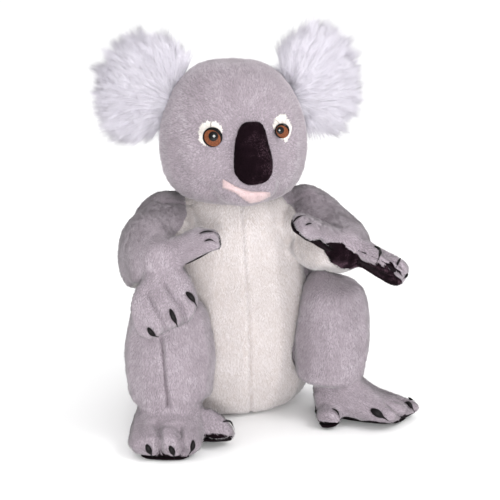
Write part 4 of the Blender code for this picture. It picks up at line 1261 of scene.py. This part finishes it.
def claw(node, body, bases, line, half_width):
    """A curved black claw that lies in the pile along a line of pixels, pointed at its end."""
    tree = tree_of([pieces[b].data for b in bases])
    line = np.array(line, float)
    gaps = np.concatenate([[0], np.cumsum(np.linalg.norm(np.diff(line, axis=0), axis=1))])
    path, facing = [], []
    for reach in np.linspace(0, gaps[-1], CLAW_STEPS):
        hit, up = on_skin(tree, [np.interp(reach, gaps, line[:, k]) for k in (0, 1)])
        path.append(np.array(hit))
        facing.append(np.array(up))
    path, facing = relax_line(np.array(path), 2), unit(relax_line(np.array(facing), 6))
    side = unit(np.cross(unit(np.gradient(path, axis=0)), facing))
    share = np.linspace(0, 1, CLAW_STEPS)
    swell = np.sqrt(np.clip(1 - (1 - share / CLAW_BROAD) ** 2, 0.10, 1))
    taper = np.where(share > CLAW_BROAD, np.cos((share - CLAW_BROAD) / (1 - CLAW_BROAD) * 1.45), 1)
    thick = (half_width * MM * swell * taper)[:, None]
    middle = path + facing * (1.5 * MM + thick * 0.3)
    rings = []
    for k in range(CLAW_SIDES):
        angle = 2 * math.pi * k / CLAW_SIDES
        rings.append(middle + side * (thick * math.cos(angle)) + facing * (thick * 0.9 * math.sin(angle)))
    points = np.stack(rings, 1).reshape(-1, 3)
    faces = []
    for start in range(0, (CLAW_STEPS - 1) * CLAW_SIDES, CLAW_SIDES):
        for k in range(CLAW_SIDES):
            a, b = start + k, start + (k + 1) % CLAW_SIDES
            faces.append((a, b, b + CLAW_SIDES, a + CLAW_SIDES))
    faces.append(tuple(range(CLAW_SIDES))[::-1])
    faces.append(tuple(range(len(points) - CLAW_SIDES, len(points))))
    mesh = solid_mesh(f"{node}_horn", points.tolist(), faces)
    return stand_in(f"{node}_horn", mesh, CLAW, body, node)


CLAWS = {
    "right_thumb_claw_1": ([(200, 234.7), (205, 233), (210, 232.7), (214, 233.4), (218.4, 235.4)], 0.85),
    "right_thumb_claw_2": ([(205, 241.8), (208, 240.6), (211, 240.3), (216.3, 243.9)], 0.8),
    "right_finger_claw_1": ([(185.7, 293), (190.8, 298), (194, 303), (196, 308)], 2.3),
    "right_finger_claw_2": ([(170.4, 309.5), (173.5, 317.3), (176, 322), (178, 328)], 2.1),
    "right_finger_claw_3": ([(148.5, 327.2), (152, 332), (155, 334.5), (159, 336.5)], 2.1),
    "left_thumb_claw_1": ([(295, 222.8), (297, 219.5), (299.8, 217.7), (303, 217), (306.8, 217.4)], 0.85),
    "left_thumb_claw_2": ([(305.4, 226.2), (307.4, 224.9), (309.8, 224.6), (313, 226)], 0.8),
    "left_finger_claw_1": ([(374, 247.5), (378, 250), (380, 254), (379.5, 258), (377, 262)], 1.5),
    "left_finger_claw_2": ([(399.6, 259.6), (398.5, 262.5), (397, 265), (395.5, 268)], 1.0),
    "left_finger_claw_3": ([(406, 272.5), (404.6, 275), (402.8, 278)], 1.2),
    "right_toe_claw_1": ([(146.8, 444), (149, 448), (151, 452), (153, 457)], 2.5),
    "right_toe_claw_2": ([(169.6, 445.5), (172, 449), (174, 453), (174.5, 458)], 2.4),
    "right_toe_claw_3": ([(192.2, 441), (192.4, 445), (191, 449.5), (188.5, 454)], 2.1),
    "right_big_toe_claw": ([(222.8, 422.3), (228.6, 421.9), (232, 424.5), (233.6, 427.3), (234, 431.5)], 0.9),
    "left_toe_claw_1": ([(371, 409.5), (376, 412.5), (381, 416), (389, 420)], 3.3),
    "left_toe_claw_2": ([(404.5, 402.5), (408, 404.5), (411, 407.5), (413.7, 412.7)], 2.0),
    "left_toe_claw_3": ([(408, 399.5), (411, 400.5), (415, 403)], 1.1),
    "left_big_toe_claw": ([(332, 410), (335, 411.3), (337, 413.6), (338.3, 416.5), (338.7, 420)], 0.9),
}
horns = []
for node, (line, half_width) in CLAWS.items():
    side = node.split("_")[0]
    body, parts = ("foot", ["foot"]) if "toe" in node else ("hand", ["thumb", "finger", "arm"])
    horns.append(claw(node, f"{side}_{body}", [f"{side}_{part}_plush" for part in parts], line, half_width))

# What stops a spike that would grow through it.
STOP = tree_of([p.data for p in [*pieces.values(), nose, *pads, *(dome for dome, _ in eyes.values()), mouth, *horns]])

DOWN = along(0, 0, -1)
GREY_LENGTH = 3.4
HAND_LENGTH = 3.0
CREAM_LENGTH = 3.6
EAR_LENGTH = 18.5
DENSE = 1.9
EAR_DENSE = 3.4


def head_bare(points):
    """Where the eyes' felt, the mouth and the nose leave no room for grey pile."""
    bare = np.zeros(len(points), bool)
    tree = tree_of([p.data for p in (*patches, mouth, nose)])
    near = points[:, 1] < -0.03
    bare[near] = distances(tree, points[near].tolist(), 0.01) < 0.0009
    return bare


EAR_TUFTS = {
    "right": [((145, 148), 14, 0.35), ((135, 32), 12, 0.15), ((100, 45), 12, 0.15)],
    "left": [((276, 40), 12, 0.35), ((300, 22), 14, 0.30), ((368, 80), 16, -0.20), ((318, 148), 12, 0.25)],
}


def ear_length(side):
    """The long ear fur, in mm, with longer and shorter tufts round its rim."""
    def long(points):
        pixels = pixel_of(points)
        value = EAR_LENGTH + 2.5 * waves(points, 0.012, 81 if side == "right" else 82)
        for centre, radius, more in EAR_TUFTS[side]:
            off = np.linalg.norm(pixels - np.array(centre), axis=1) / (radius * 1.6)
            value = value * (1 + more * np.exp(-off * off))
        return value
    return long


def head_length(points):
    """Shorter pile towards the nose."""
    off = np.linalg.norm(points - np.array((0, -0.09, 0.245)), axis=1)
    return 2.0 + 1.4 * np.clip((off - 0.02) / 0.05, 0, 1)


def shoulder_mottling_and_shade(out):
    """Darker spots on the shoulders beside the neck, under the head: partly the fur's own mottling, partly painted
    shade from the head.
    """
    return [((sign * out, -0.045, 0.195), 0.030, 0.22) for sign in (-1, 1)]


def grey_pile(part, length, flow, tone, seed, thick=0.45, rise=0.32, kind=GREY, keep_out=None):
    pile(
        f"{part}_pile", f"{part}_plush", "grey_plush", GREY_PILE, DENSE, length, thick, rise, flow, tone, kind,
        keep_out, seed,
    )


def cream_pile(name, base, length, flow, tone, seed):
    pile(name, base, "cream_plush", CREAM_PILE, DENSE, length, 0.45, 0.32, flow, tone, CREAM, seed=seed)


def velvet_pile(name, base, density, length, thick, rise, strength, seed, base_tone=0.52, kind=BLACK):
    tone = mottled(base_tone, seed, strength)
    pile(name, base, "black_velvet", BLACK_PILE, density, length, thick, rise, DOWN, tone, kind, seed=seed)


# Painted light under the chin, against the head's shade, and painted shade in the belly's folds by the right hand and
# the left forearm.
BELLY_LIGHT_AND_SHADE = [
    ((0, -0.09, 0.185), 0.040, -0.45), (spot((202, 286), -92), 0.024, 0.7),
    (spot((186, 300), -80), 0.020, 0.45), (spot((283, 262), -88), 0.010, 0.2),
]
grey_pile("torso", GREY_LENGTH, DOWN, mottled(0.5, 3, 0.14, shoulder_mottling_and_shade(0.07)), 11)
cream_pile(
    "belly_pile", "torso_plush", 3.2, DOWN, seamed(mottled(0.57, 5, 0.10, BELLY_LIGHT_AND_SHADE), [BELLY_SEAM], 0.2), 12
)
grey_pile("head", head_length, away_from(0, -0.10, 0.262), mottled(0.52, 7), 13, 0.42, 0.30, None, head_bare)
LIMB_FLOWS = {
    "right": {
        "arm": away_from(0, 0.03, 0.25), "thumb": along(0.8, -0.5, 0.0), "finger": along(-0.1, -0.5, -0.7),
        "leg": DOWN, "foot": along(0.0, -1, -0.2),
    },
    "left": {
        "arm": away_from(0, 0.03, 0.25), "thumb": along(-0.8, -0.5, 0.0), "finger": along(0.8, -0.5, -0.7),
        "leg": DOWN, "foot": along(0.8, -1, -0.2),
    },
}
for k, side in enumerate(SIDES):
    for m, (part, way) in enumerate(LIMB_FLOWS[side].items()):
        seed = 20 + m + 10 * k
        limb = f"{side}_{part}"
        tone = mottled(0.5, seed, 0.14, shoulder_mottling_and_shade(0.075) if part == "arm" else ())
        if limb == "right_leg":
            tone = seamed(tone, [LEG_SEAM])
        grey_pile(limb, GREY_LENGTH if part in ("arm", "leg") else HAND_LENGTH, way, tone, seed)
        if part == "arm":
            cream_pile(f"{limb}_cream_pile", f"{limb}_plush", CREAM_LENGTH, way, mottled(0.6, seed), seed + 5)
    pile(
        f"{side}_ear_pile", f"{side}_ear_plush", "ear_fur", EAR_PILE, EAR_DENSE, ear_length(side), 0.30, 0.25,
        away_from(0.050 * SIGNS[side], -0.01, 0.285), mottled(0.66, 40, 0.07), seed=40 + k,
        clump=9, pull=0.62, sections=2, bend=0.12, spread=0.10, own=1.0, patchy=0.04,
    )
    pile(
        f"{side}_eye_fringe", f"{side}_eye_surround", "white_felt", WHITE_PILE, 3.0, 2.8, 0.4, 0.35,
        away_from(*eyes[side][1]), mottled(0.55, 50, 0.3), seed=50 + k,
    )
pile(
    "mouth_pile", "mouth_cover", "pink_plush", PINK_PILE, 3.0, 2.2, 0.4, 0.45, DOWN, mottled(0.5, 60, 0.4),
    seed=60, spread=0.25,
)
velvet_pile("nose_pile", "nose_cover", 3.5, 1.1, 0.35, 0.6, 0.8, 70, 0.5, None)
velvet_pile("palm_pile", "left_finger_plush", 3.0, 1.9, 0.4, 0.5, 0.5, 71)
velvet_pile("wrist_palm_pile", "left_arm_plush", 3.0, 1.9, 0.4, 0.5, 0.5, 72)
